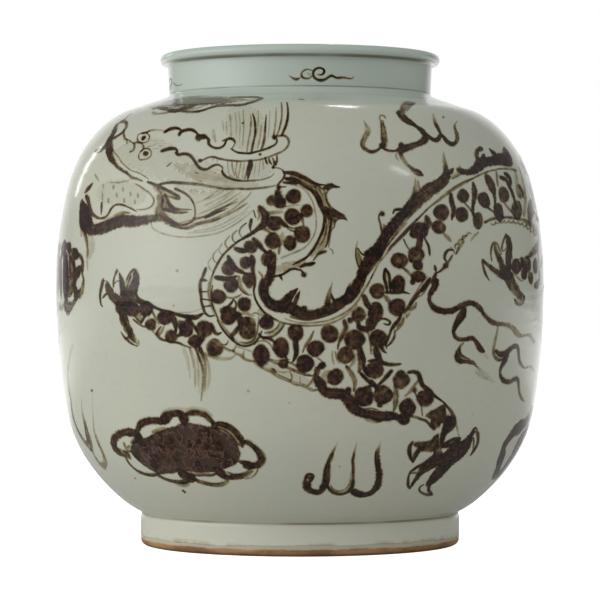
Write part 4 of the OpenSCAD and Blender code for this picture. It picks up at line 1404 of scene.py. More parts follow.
LOWER_BELLY = [
    line([5, 7, 7, 6], 0.13, -34, 143, -20, 138.5, -4, 132.5, 10, 127.5),
    line([2.4, 3, 3, 2.4], 0.45, -65, 178, -61, 172, -57, 167, -53, 162.5, -48, 159, -43, 158.3, -38, 160.3,
         -34, 164, -31.5, 169),
    line(1.3, 0.72, -66.5, 178.5, -62.5, 171.5, -58, 165.8, -53.5, 161.5, -47.5, 158, -42, 157.5,
         -36.5, 160, -32.5, 164.5, -30.3, 170),
    line(1.4, 0.55, -33, 181.5, -33.5, 175, -34.5, 168, -37.5, 162.7, -42.5, 160.3, -48, 161),
    line([3, 3, 2], 0.42, -74, 150.3, -66, 148, -60, 147.4, -55, 148, -52, 150.3),
    line([2.2, 2.4, 2.4], 0.5, -53.5, 154.5, -52, 152, -47.5, 150, -45, 147.5, -41, 146, -36, 145.3),
    line(1.2, 0.45, -50.5, 159.3, -52, 156, -53, 153),
    line(1.4, 0.35, -50, 157, -44, 155, -38, 152.5, -36, 150),
    line(1.8, 0.5, -45, 153, -45.5, 150.5, -45, 148),
    line([2.4, 2.8, 2.4], [0.55, 0.7, 0.75], -25, 146.5, -18, 143.5, -10, 140.5, -4, 137.7, 3, 135,
         10, 133.7),
    line([1.8, 2.2], 0.65, -12, 146, -6, 143.3, -1, 140),
    line(1.2, 0.5, -26, 148, -19, 146, -12, 146.5, -8, 147),
    line([2.4, 3, 2.6, 2.8, 2.8], 0.5, -37, 145, -31, 141, -26, 138.5, -22, 137, -18, 134, -14, 132,
         -9, 130, -4, 127.5, 1, 126.5, 6, 124.3, 10, 122.2, 14, 122.5),
    line(1.8, 0.6, -21.5, 139.5, -19, 136),
    line(1.4, 0.5, -8, 137, -6.3, 132.5, -8, 129),
    line(1.2, 0.4, 0, 133, 0, 128),
    line([1.8, 2], 0.5, 10.5, 132, 8.5, 128, 5.5, 125),
    line(1.3, 0.4, -24, 140, -17, 137, -12, 136.5, -8, 137.5),
    line([3, 3, 2.4, 2.6, 3, 3], 0.85, 104, 211.5, 100, 206, 95, 200, 91, 195, 87, 189, 83, 184),
    line(1.2, 0.5, 102, 213, 97, 207, 93, 200.5, 88, 194),
    line([2.4, 2.2, 2], 0.78, 73, 170, 71, 164.5, 69, 160, 69.3, 155.5),
    line(1.5, 0.5, 102, 205, 99.5, 200.5, 97, 198, 95, 197, 92.5, 194.5),
    line([2, 3, 2], 0.5, 93, 192, 92, 189, 89, 187, 86.5, 186),
    line(1.8, 0.5, 88, 184, 85, 180),
    line([1.8, 2.6, 2], 0.6, 83, 179.5, 82, 176, 80, 173.5, 77, 169.5),
    line([1.8, 2.4, 2], 0.7, 76, 170, 75.5, 165, 73, 160.5, 70, 157.5),
    line([3, 3.4], 0.92, 98, 202, 101, 206, 104, 209.5),
    line(3, 0.25, 90, 191, 86, 185, 82, 179, 77, 173),
]
TUFT = [
    line([8, 12, 12, 6], 0.1, -81, 150, -80, 140, -79, 130, -79, 120),
    line([2.4, 1.8, 1.4], [0.85, 0.5, 0.35], -84, 157, -80.5, 148, -78.3, 141, -77.5, 133, -78, 124,
         -79.3, 113.5),
    line([3.4, 2, 1.4], [0.85, 0.4, 0.3], -80, 156, -78, 151, -76.3, 145, -75.7, 137, -75.7, 128,
         -76.3, 121),
    line(1.8, [0.4, 0.25, 0.2], -76, 152, -73.3, 142, -72.3, 132, -74, 123),
    line([2.4, 1.6, 1.4], [0.5, 0.25, 0.2], -88, 156, -86, 148, -84.5, 139, -84, 131, -84.3, 124),
    line(1.3, 0.2, -82, 149, -81.3, 138, -81.3, 126),
    line(1.3, 0.2, -90, 150, -88.5, 140, -88, 131),
    dot(-41.5, 121.5, 1, 0.3), dot(-8.5, 112, 0.8, 0.3),
]

FORELEG = [
    line([2.6, 2.4, 1.4, 1.4, 1.2], 0.85, -157.7, 210, -158.7, 206, -160, 200, -160, 194, -159.2, 190.5,
         -158, 189),
    line(1, 0.5, -157, 209.7, -154, 209, -152, 205, -150, 201),
    line([4, 5.8, 6, 7, 8.5], [0.85, 0.97], -154.5, 206, -152.7, 201.5, -150, 197.3, -146, 194, -141, 190),
    line(1.6, 0.75, -154.5, 199.7, -156.5, 198, -158.3, 196),
    line([2.4, 1.5, 1.4, 2.2], 0.75, -146.7, 218, -148.5, 213.5, -149.4, 209, -149.4, 205.3),
    line(1, 0.35, -146, 218, -143, 214, -141, 209, -140, 204),
    line([1.6, 3.6, 4.8, 5.5, 7], 0.98, -144.7, 215.3, -143.2, 210, -142.2, 205, -141.5, 199, -140.5, 193),
    line(1.1, 0.6, -148.5, 207.5, -146.5, 209.8, -145, 209.3),
    line([1.6, 1.5], 0.7, -133, 219.3, -136, 216, -138.5, 211.5, -139.3, 207.5),
    line(3, 0.25, -135, 216, -138, 210.5),
    line([4, 5.6, 6.5, 7.5, 8], 0.92, -131.8, 217, -131.3, 212, -132.7, 206, -135, 200, -137, 193.5),
    line(1.6, 0.8, -135.2, 214, -137, 209.5, -138.7, 204, -139.5, 198),
    dot(-140.5, 189.5, 7.5, 0.98, 0.95, 120), dot(-134, 187.3, 5.4, 0.9, 1.1),
    line(1.1, 0.12, -137.8, 190.5, -138.6, 187, -137, 183),
    line([3, 3, 2.6, 2, 2.2, 2.8, 2.8, 3, 3.6, 3.4], [0.95, 0.9], -131.5, 199, -129.5, 195, -125, 192.8,
         -121, 191.3, -117, 189, -112, 186.7, -106, 184.8, -100, 183.3, -94, 181.7, -88, 180.8, -82, 181,
         -78, 183.3),
    line([2.6, 3], 0.96, -135, 195.5, -131, 194, -128, 191.8),
    line(2.4, 0.9, -89, 179.6, -82, 179.4),
    dot(-123.3, 187.2, 5.6), dot(-119.5, 174.8, 4.4), dot(-108.3, 180, 5.8), dot(-103, 165, 5),
    dot(-91.3, 171.3, 5.8), dot(-96, 174.8, 3.2, 0.8), dot(-84, 161.3, 5.1, 0.9),
    line([6.5, 6.5, 5.8, 5.2, 4.6, 2.6], [0.98, 0.9, 0.82, 0.9, 0.85, 0.5], -143.5, 186, -141.5, 180.5,
         -139.5, 175, -137, 170, -134, 165, -131, 160),
    line([1.2, 1.8, 1.6, 1.6], [0.6, 0.75], -143.3, 168.5, -141, 165, -138, 161.7, -134, 159,
         -130.5, 157.5),
    line(2.4, 0.4, -140.5, 164, -136, 163.3, -132, 160.5),
    line(1.8, 0.45, -129.7, 162, -129.6, 159.5, -131, 157),
    line(1.3, 0.55, -136, 166, -139, 163.5),
    line([4, 3], 0.35, -131, 183, -128, 179, -126.5, 177),
    line(1.4, 0.65, -133, 182, -130, 178.5, -127, 175.8),
    line(2, 0.82, -124, 182, -126, 178.5, -127.5, 175.7),
    line(1.7, 0.75, -133.5, 178.7, -130, 176, -127, 174, -124.3, 173, -121.5, 173.7),
    line(1.6, 0.5, -119, 188.5, -117, 183, -114.2, 178.5, -113, 174.5),
    line(1.3, 0.45, -118, 184, -116, 179.5, -114.8, 175.5),
    line(1.2, 0.3, -117, 173.3, -113, 173),
    line([6, 4.4, 3.2, 2.6], 0.95, -104.5, 183, -101.3, 179, -99.7, 173.5, -99.2, 168),
    line([3, 2], 0.5, -112.5, 183, -114, 179.5),
    line([1.6, 2.6, 2.4, 1.7], 0.82, -111.5, 173, -113.5, 170, -114.5, 167, -112.5, 164, -109, 162.2,
         -105.5, 161.6),
    line(2.2, 0.55, -109.5, 172.5, -111.5, 168.5, -113, 166),
    line([1.3, 1.7], 0.5, -119.5, 171, -117, 168.5, -115, 166),
    line(1.8, 0.62, -106, 161.2, -101, 160.6, -97, 160, -93, 158, -88, 156.4),
    line([3.6, 4.2], 0.95, -89.5, 181, -89.5, 177, -90, 173),
    line([3, 3.4], 0.95, -97.5, 166, -94.5, 167.3, -91, 168.8),
    line([2.6, 2], 0.85, -90, 181, -87, 177, -84, 172, -81.3, 166.5),
    line(1, 0.25, -97, 184.4, -88, 184.6, -82, 186.3, -78, 188),
    dot(-98.5, 217.8, 1, 0.4), dot(-101.3, 189.8, 0.9, 0.3),
]
TUFT += [
    line([3, 2], 0.2, -93, 155, -90.5, 147, -89.3, 138),
    line([2.6, 3], 0.85, -81, 155.5, -79, 152.3),
]

HINDLEG = [
    line([3.4, 3.6, 4, 4.6, 5.5, 7, 8, 8.5, 8.5, 9, 9, 8.5, 7, 7, 8, 7.5, 7], [0.93, 0.97], 18.5, 143,
         15.5, 141, 13.5, 137, 12.8, 132, 15, 127, 18.5, 122.5, 23, 120, 28.5, 119.5, 34, 119, 38, 115.5,
         41, 110.5, 45.5, 106, 51, 103.7, 57, 102.8, 64, 101, 71, 101.5, 79, 101),
    line([2.4, 3], 0.93, 15, 133, 18, 129.5, 21, 125),
    dot(17.7, 142, 2.7), dot(38.7, 122, 2.4), dot(22.5, 133, 5, 0.5), dot(28.3, 133, 6.3, 0.92),
    dot(59.5, 138.5, 7, 0.9), dot(51, 117, 8, 0.95), dot(54, 122.5, 3.4), dot(66.7, 118, 7.3, 0.95),
    dot(64, 110.5, 2), dot(81, 130.5, 6.9, 0.93), dot(100, 115.7, 6.5, 0.88),
    dot(86, 108.3, 6.9, 0.93, 0.9, 80), dot(83, 99.3, 4.8, 0.98), dot(92, 122.3, 2, 0.8),
    line(1.5, 0.4, 14, 148, 18, 145, 21.3, 141),
    line([3, 3.2, 3.6, 3, 3], [0.9, 0.6, 0.55, 0.6, 0.85], 37.3, 141, 39.5, 138, 42, 134, 43.7, 130,
         43.8, 125, 43, 121.5),
    line(1.6, 0.35, 26, 153.5, 26, 148, 27.3, 142.5),
    line(1.4, 0.4, 28.3, 153, 29.3, 148, 31.5, 143.5),
    line(2.5, 0.4, 44.2, 149, 43, 144.5, 40, 141),
    line([5.4, 6, 5, 3], [0.9, 0.72, 0.7, 0.8], 48, 154, 49, 147, 48.6, 141, 46.5, 136.5),
    line([2, 2.6, 2.4], 0.93, 49.6, 153, 51.5, 147, 51, 141),
    line([3.4, 4], 0.93, 51, 141, 53.2, 137, 55.5, 133),
    line([5, 5, 4, 3, 3, 3], [0.97, 0.88, 0.75], 60.3, 154, 62, 150, 64, 146.3, 66.5, 144.2, 71, 143,
         76, 142.7, 81, 143.3),
    line(2.2, 0.88, 55, 145.5, 60, 146.4, 64.5, 145),
    line([2.6, 3, 2.6], 0.96, 48.3, 136, 52, 132, 56, 128.5, 59.3, 126, 61, 122.5),
    line(1.8, 0.7, 57, 130.5, 60, 127.5, 62, 124.5),
    line(2.6, 0.85, 55, 125, 58, 126.3, 61, 125),
    line([4, 3.6, 3, 2.4, 2.4], 0.96, 73, 137.3, 70, 134, 67, 130.5, 64, 127.5, 61.5, 125),
    line([3, 4, 4, 3], [0.7, 0.65, 0.65, 0.75], 76, 126, 77, 118, 76.5, 111, 75, 105.5),
    line(1.6, 0.55, 51, 106.8, 57, 107.7, 62.5, 106.3),
    line(4, 0.45, 53, 99.5, 58, 98.3, 64, 97.5),
    line([3, 3, 3.6, 4, 3.6, 3.2, 3.6, 3.2, 2.2, 2], 0.92, 87, 136.5, 91, 136.8, 94.5, 135.5, 96, 132,
         97, 128.5, 98.5, 125.7, 101.5, 123.7, 104.3, 121.3, 107, 118.2, 111, 115.5, 115, 112.5),
    line([5, 4], 0.9, 101, 122, 105, 119),
    line([2, 2, 2.4, 2.6, 2, 1.4, 1.3, 1.3], [0.8, 0.85, 0.9, 0.6, 0.4, 0.35, 0.45], 115, 112.5, 118, 109,
         120.7, 105.5, 123, 101.5, 124.7, 97, 125.7, 92, 127, 87.5, 127.7, 84.5),
    line([1.8, 2.6, 2.4], 0.5, 95, 131, 93, 127.5, 90, 123.5, 87, 119.7, 84, 117.5),
    line(1.6, 0.55, 91.5, 121, 93.5, 117.5, 96, 113.5, 97.5, 108, 98, 101.5),
    line(2.2, 0.78, 88, 101.6, 93, 100.5, 97, 99, 101, 97.6, 103.2, 95.3, 104.7, 92.5),
    blob(0.94, 100.7, 101.5, 104, 105, 109, 107.3, 113, 110, 116, 110.2, 117, 105, 117.5, 100, 116, 95,
         113.5, 96, 112, 93, 109.5, 91.8, 107.5, 90, 104.7, 92.3, 104.3, 96, 105, 99, 102.5, 100.2),
    blob(0.95, 118, 102, 121, 101.8, 123.5, 102, 125, 98, 124.2, 93.5, 121.5, 89.7, 117.5, 86.5, 115, 83,
         113.6, 78, 112.8, 84, 113.6, 90, 115, 96, 116.5, 100),
    line([5, 3.4, 2.4], 0.95, 115.5, 90, 114, 83, 113.6, 76.5),
    blob(0.95, 110.8, 87.5, 107.5, 85.3, 105, 82.3, 100, 81, 95, 81, 91.5, 79.7, 91, 77.7, 93.5, 76.3,
         94.5, 73.5, 93.3, 71, 91.8, 69, 93, 69.8, 96.5, 73, 101, 72.8, 106, 73, 110, 75, 112, 77.5,
         111.3, 82),
    line([3.4, 3.4, 2.6, 2], 0.92, 95.5, 75, 92.7, 70.5, 91.3, 67, 90.6, 64.3),
    line([2.4, 3, 3, 2.6, 2], 0.9, 90, 80.3, 88, 77, 87.7, 73, 88.7, 68, 90.6, 64),
    line([7, 7, 5, 3], 0.82, 111.5, 69.5, 106, 65, 100, 61, 95, 58),
    line(2.4, 0.92, 108.3, 75, 107.3, 70, 103, 66, 98, 62.7, 93, 60, 88.5, 57),
    line([5, 5, 4, 3.2, 2.4, 2], 0.94, 112.5, 69.5, 110, 64.5, 105, 61, 100, 58, 96.5, 55.5, 93, 51,
         90.3, 47, 89, 44.5),
    line([1.6, 1.6, 2.2, 3], 0.87, 88.5, 57.3, 87, 53, 86.5, 48.5, 86.7, 45.3, 88.2, 43.3),
    line(1.6, 0.65, 88.7, 55.5, 92, 56.2, 96.5, 55.3),
    line([9, 9.5, 7.8, 6.4, 5.6], 0.96, 117, 69, 115.5, 62, 111.3, 56, 107, 51, 102.7, 47),
    line([2.6, 2, 2.8], 0.92, 103.6, 46, 102.9, 42.3, 105.3, 39, ends=(0.9, 0.8)),
    line([1.4, 1.6, 2.2], 0.8, 98.7, 46.2, 96.3, 44.8, 95.5, 42.3, 98, 39.7, 102, 38.3, 106, 38.2),
    line([11, 12.5, 11.5, 8.5, 5.5, 3.2, 1.8], 0.95, 116.5, 64.5, 121.5, 69.5, 127, 73.3, 132, 77.5,
         135, 82.5, 137.3, 86.5, 139.5, 90),
    line(1.6, 0.85, 136.7, 86, 139, 90.5, 140.9, 92, 142.2, 90.3),
    line([1.6, 2.2, 2.4, 2.4, 2.2, 2, 2.6, 2.6], 0.82, 137.3, 85, 139, 88, 141, 89.2, 142.4, 87, 142.6, 82,
         141.6, 77.5, 139.2, 73.7, 136.9, 70.5),
    line(1.2, 0.65, 139, 84, 139.2, 79, 138.6, 74.5),
    line(1.9, 0.92, 113.5, 77.3, 117, 79.7, 121, 82.2, 125, 83.6, 128.6, 84),
    line(1.7, 0.88, 114, 76.5, 118, 77, 123, 79, 127, 81, 128.7, 83.6),
    line(4, 0.62, 116, 78.5, 121, 80.3, 126, 82),
    dot(118, 79, 2.3, 0.88), dot(125.7, 81.9, 2.4, 0.88),
    line([3, 4.6, 4], 0.5, 112.5, 78, 111.2, 73, 112.3, 69.5),
]

RIGHT_FOOT = [
    line([1.2, 1.4, 2, 2.6, 2.4, 1.6, 1.4, 1.3], [0.5, 0.6, 0.6, 0.45], 170.5, 226.2, 177.5, 227.3,
         183, 229.5, 187, 233, 190, 237.5, 191, 243, 191, 248, 189, 254),
    line([2, 2.6, 3.4, 4.2, 5, 6.5], [0.7, 0.78, 0.85], 147.3, 225, 150, 222.7, 154.5, 219, 158.7, 216,
         162.5, 214.3, 166, 213),
    line([1.4, 1.8, 1.8, 1.8, 1.2], 0.72, 149, 224.6, 146.2, 226.3, 147, 220, 148.5, 215.5, 151.6, 209.8),
    line([2.2, 3, 3.8, 4.4, 5, 6], [0.78, 0.85], 155.8, 237.7, 156.8, 234, 158.7, 229.8, 160.5, 225.5,
         162.3, 221, 165, 216),
    line([1.4, 1.6, 1.5, 1.5, 1.5], [0.8, 0.7, 0.55, 0.7], 153.6, 226, 152.9, 231, 153.5, 237, 155.2, 240.2,
         157.8, 239, 159.5, 235.3, 161.8, 231),
    line([1.2, 2.2, 3.2, 3.8, 4.4, 5, 6], 0.9, 165, 246.8, 165.8, 242.6, 166.8, 237.6, 167, 233, 166.8, 228,
         166.8, 224, 167, 218),
    line(1.4, [0.8, 0.7, 0.6], 165, 247, 163.2, 242.5, 162, 238.3, 161.6, 235.3, 162.7, 233.5, 165, 235.7),
    line([1.2, 2, 2, 1.8], 0.85, 165.3, 246.5, 167.6, 243.6, 168.9, 238.3, 169, 232, 169.8, 227.5),
    dot(163.5, 215.5, 4.4, 0.93), dot(173.2, 221.3, 4.4, 0.92, 1.25), dot(167.8, 214, 3, 0.9),
    line([7.5, 7, 5.6, 5, 4, 2.6], [0.85, 0.8, 0.75, 0.72], 165.5, 213, 169, 209, 171.3, 205, 174, 201,
         176, 197.6, 177, 194.6),
    line([1.8, 2.2, 2.8, 2.6, 2], 0.85, 179.7, 196.3, 179, 193.6, 176.2, 191.2, 173.4, 192.4, 171.8, 194.9),
    line(1.6, 0.7, 176.5, 200.5, 178.5, 198, 179.6, 195.7),
    line(1.2, 0.45, 171, 215.6, 174, 213, 176.3, 210.6, 178.7, 209.4),
    dot(179.5, 215.5, 5, 0.9, 0.5, 95), dot(184.8, 212, 4.8, 0.85, 0.42, 95),
    dot(182.5, 222.5, 6.6, 0.88, 0.42, 90), dot(188.6, 221.5, 6, 0.85, 0.34, 92),
    line([2.4, 3, 2.4], 0.9, 177.5, 226.5, 179.3, 222.5, 181.3, 218.5),
    line([2.4, 2, 1.6], 0.85, 188, 205.8, 190.7, 207.3, 191.7, 212, 191.3, 217.5),
    line(1.2, 0.4, 193.4, 212.5, 193.4, 206.3),
    line(1.3, 0.6, 190.5, 237, 190.8, 230, 191.6, 222, 192.3, 214.5),
    line([1.6, 1.6, 2], 0.55, 135, 247.3, 130.3, 243, 127, 237, 124.7, 231.4, 122.6, 234.4, 120.6, 236.5),
    line(1.8, 0.6, 131.3, 241.3, 128, 236.2, 125.2, 231.2),
    line(1.8, 0.38, 143, 248.6, 139.5, 245.5, 136.6, 241.7),
    line([2.6, 3], 0.5, 115.5, 247, 121, 241.5),
    line([1.4, 2.4, 2.2, 2], 0.85, 123, 234.2, 119, 234.4, 116.2, 231, 115.8, 227.7, 117.4, 225.3),
    line([1.8, 2, 2.8, 2.4, 2, 1.8], [0.7, 0.85], 122.2, 230.3, 119.3, 225.5, 116.5, 221.7, 113.7, 218.7,
         111, 216.7, 109, 216),
    dot(116.7, 222, 2.2),
    line(2.4, 0.8, 108, 221.3, 109, 217.3),
]
FLAMES = [
    line([2.6, 3.4, 6.4, 5.8, 4, 3.4, 3.4, 3.8, 4.8, 5, 5, 4.4, 4.6, 4, 3.6, 3.4, 3.6],
         [0.9, 0.95, 0.95, 0.97, 0.95, 0.93, 0.95, 0.95, 0.8], 109.2, 216, 107.3, 212, 108.2, 208.5,
         108, 205, 105.3, 201, 103.7, 196.5, 104, 192.7, 106, 189.2, 110, 186.7, 115, 185.4, 120.5, 185.6,
         126, 188, 131, 190.5, 136, 192, 140.5, 190.7, 144.5, 187.3, 147.5, 182.5),
    line([3.6, 3.6, 3.4, 3, 3.2, 3.4, 3.2, 2.4, 2, 1.8, 1.5, 1.2], [0.75, 0.78, 0.6, 0.65, 0.5, 0.45, 0.35],
         147.5, 182.5, 151.7, 178.3, 157, 175.5, 163, 174.9, 168, 173.5, 172, 170, 174.5, 167.3,
         177.5, 165.8, 182, 166.4, 184.6, 165.9, 186.3, 163, 188.4, 160.2),
    line([2.4, 3, 2.8, 2.8, 3.2], 0.85, 131, 187.5, 127.3, 181.3, 124.8, 176, 123, 171, 122.7, 168),
    line([3, 3.4, 3, 2.4], 0.97, 132.3, 187, 131.5, 182.3, 128.6, 178.2, 125.3, 173.7, 123.6, 169),
    line([3.2, 3.6, 3.6, 3.4, 3.4, 3, 3.8, 5, 4.4], [0.85, 0.85, 0.88, 0.93, 0.85, 0.88, 0.97, 0.95],
         122.7, 168.5, 124.5, 164.8, 128.4, 162.6, 133, 163, 138, 163.8, 141, 161, 143, 157.5, 145.3, 154.6,
         147.6, 153.3),
    line(2, 0.14, 148, 150.5, 151, 147.3),
    line([1.6, 2.2, 4, 5, 5.4, 3.6, 3.4, 3, 2.2], [0.6, 0.8, 0.95, 0.97, 0.88, 0.75, 0.5], 131, 160,
         128, 157, 126.9, 153, 126.2, 149.3, 127.3, 146.6, 130.6, 145.2, 135, 144.8, 139, 144, 142, 140.7),
    line([2, 2.6, 3, 3, 1.6], [0.4, 0.2, 0.16, 0.12], 142, 140.7, 146, 136.7, 151, 132, 156, 128.2),
    line(2, 0.78, 127.6, 155, 128.8, 151.2, 132, 148.2, 136, 147),
    line([1.6, 1.7, 1.8, 1.9, 2.4, 2.8, 2.4], [0.5, 0.55, 0.6, 0.75, 0.85], 158.7, 173, 157.3, 166,
         156, 160, 155, 155, 155.2, 151, 157, 147.8, 160, 146.3, 163, 147.4),
    line([3, 4.4, 4.4, 3.2, 2.8, 3, 2.6, 2, 1.8, 1.6, 1.5, 1.6, 1.4, 1.2, 1],
         [0.93, 0.97, 0.9, 0.85, 0.8, 0.62, 0.6, 0.3], 157, 153.5, 159.5, 151.2, 163, 151, 166, 152.7,
         169, 155.5, 171.8, 157.4, 174, 157, 175, 154, 175.2, 150, 175.8, 146.3, 177.4, 142.6, 180, 140.2,
         183, 141, 185.5, 140.5, 188, 136.6),
    line([3, 3.4, 2.6, 2, 2, 2.8, 3.6, 3, 3, 2.4, 1.8, 1.5, 1.3, 1.1],
         [0.9, 0.85, 0.85, 0.93, 0.75, 0.75, 0.6, 0.4], 166.5, 152, 165.3, 148, 162.4, 143.2, 160.5, 139,
         160.5, 134.7, 162.4, 130.6, 165.5, 129, 169, 129.5, 172.4, 131.2, 174.6, 130.2, 175.2, 125.5,
         175.7, 121, 177.2, 116.4, 180, 113),
    line(3, 0.18, 141, 137, 146, 133, 150, 131),
]
CLOUD_RIGHT = [
    line([2.4, 4, 3.4, 2.6, 4, 4.4, 4, 3.4, 2.8, 3.6, 3.4, 3, 3.4], [0.75, 0.9], 186.5, 106.5, 184, 103,
         182, 98.7, 180, 95.5, 177, 93, 172.3, 90, 168.4, 85, 164.6, 79.3, 162.2, 73, 161.2, 68,
         159.7, 62.5, 157.6, 57.5, 156.2, 52.5),
    line([3, 5, 7, 6.4, 5, 4.4, 4], 0.85, 181, 90.5, 178, 85, 174.3, 80, 171, 73, 167.5, 66.8, 163, 60,
         158.6, 55),
    line([4, 3], 0.65, 158.5, 54, 161.5, 58.5),
    line(1.4, 0.6, 184.5, 93.5, 181.5, 89),
]
CLOUD_LEFT = [
    blob(0.94, -136, 73, -134.5, 79, -133, 82, -128, 83, -122, 84.5, -117, 87.3, -112, 89.5, -105, 92,
         -99, 93.3, -95.5, 95.8, -91, 96.3, -85, 95, -78, 94.3, -72, 92.5, -66, 91, -60, 88, -55, 84.3,
         -51, 80, -49, 76, -48, 71, -49.3, 66, -52.5, 62.3, -58, 60.5, -62, 58.5, -67, 57, -75, 56.2,
         -83, 56.2, -91, 57.6, -100, 56, -107, 55.4, -112, 55, -117, 57, -121, 59.3, -126, 62.7, -131, 67),
    line([6, 6.5, 6, 5, 4, 3.8, 3, 2.2], [0.93, 0.9, 0.85, 0.88, 0.9, 0.85, 0.7], -130.5, 88, -136.4, 88.4,
         -142, 88, -147, 85.3, -149.5, 80.3, -148, 75.3, -144, 71.7, -140, 69.5),
    line(2, 0.5, -146, 75.5, -141, 73, -135.5, 73.5),
    line(2, 0.5, -141, 79.5, -139, 75, -136.5, 78),
    line([2.4, 3, 2.4], 0.75, -140.5, 72.5, -138, 70.3, -136, 67.5),
    line([3, 3], 0.5, -135.5, 80, -131, 83.5),
    line([1.8, 1.6, 1.4, 1.8, 2, 2.4, 3], 0.8, -140, 69.5, -137.7, 64.7, -134, 60.5, -129.5, 57.2, -124, 55,
         -118, 54.3, -113, 55.3),
    line([4, 6, 7], 0.95, -131, 88.5, -129, 83.5, -125.5, 79.5),
    line([4, 6, 6, 5.4, 6, 6.5], 0.93, -130.5, 89.5, -128, 94.5, -122.5, 97.3, -117, 98, -112, 97.3,
         -106, 97.5),
    line(3, 0.45, -118, 88.7, -113, 90.4, -108, 92),
    line([5, 6, 5.5, 5, 5, 5.4, 4], 0.93, -110.8, 99, -108, 101.8, -103.5, 103, -98, 103.6, -93, 101.8,
         -91, 99, -91, 96.5),
    line([5, 4, 2.4], 0.9, -112, 97, -106.5, 98.3, -102.5, 100),
    line([3.4, 3], 0.85, -96, 101, -94, 97.5, -93, 95.5),
    line([4, 4.8, 4.4, 4.4, 4.2, 3.4, 3], [0.9, 0.8, 0.8, 0.88], -92, 102, -88, 103.6, -83, 104.1,
         -77, 102.6, -72.4, 98.8, -69.6, 95, -70.7, 92.3),
    line(3, 0.2, -110.5, 103.6, -105, 106.6, -98, 107, -91, 106.7, -84, 107.3, -76, 105.8, -70, 101.5),
    line([3.4, 4.6, 5, 5, 5.5, 5.8, 6], 0.93, -69, 94.6, -63.5, 95, -58, 93, -53, 89.7, -49.3, 85.3,
         -46.7, 81, -46.3, 77.5),
    line([2.2, 2, 1.8, 2], 0.8, -68, 92.3, -62, 90.8, -57, 87.6, -52.5, 82.8, -48.5, 77.7),
    line([4.8, 4.2, 4, 5, 5.5, 5.5, 5, 4.8, 4], [0.93, 0.88, 0.82, 0.85, 0.93, 0.93], -45, 81.3, -40, 79.4,
         -36, 76, -32.3, 71, -31.2, 66, -33.8, 62.7, -38, 62, -43, 63.5, -48.5, 65),
    line(2.4, 0.35, -34, 76.5, -28.8, 70, -28.6, 64.5, -32.5, 59.5),
    line([3, 3.4], 0.9, -44.5, 61, -39.5, 60.3, -36.5, 60.8),
    line([2, 3.4, 3.8, 4], [0.5, 0.75, 0.93, 0.95], -38, 57.5, -42, 54.6, -48, 53, -54, 52.3, -60, 52.3),
    line(1.8, 0.42, -33.5, 60, -35, 56, -38.5, 52.5, -44, 51),
    line([1.6, 2, 2.6], [0.5, 0.6, 0.75], -39.5, 60, -42, 57, -47, 55, -53, 54.5, -58, 56.5),
    line([6.5, 6, 4], 0.95, -66, 58, -62, 54.3, -58.5, 51.8),
    line([4, 6.4, 5.4, 3], 0.94, -96.5, 57.5, -92.5, 53.8, -87.5, 51.4, -83.5, 50.3),
    line([2.8, 2, 2.2, 2.6, 4, 3], 0.85, -113.5, 54, -108, 51, -102, 49.2, -95.5, 48.5, -90.7, 49, -89, 51),
    line(3, 0.35, -98, 46.8, -92, 46.3, -88.5, 47.5),
    line([2.6, 3, 2.6, 3, 3.6, 3.4], [0.85, 0.75, 0.7, 0.6, 0.7], -84.5, 50.6, -79, 48.5, -73, 47,
         -66, 46.2, -60, 48, -57.3, 50.8),
    line(2.2, 0.7, -92, 57, -85.5, 54.7, -77, 54.2, -70, 54.2, -66, 56),
    dot(-85.8, 52.7, 2), dot(-93.6, 41.5, 0.9, 0.75), dot(-92.2, 40.4, 0.8, 0.75),
    dot(-132, 51.5, 0.8, 0.25),
]
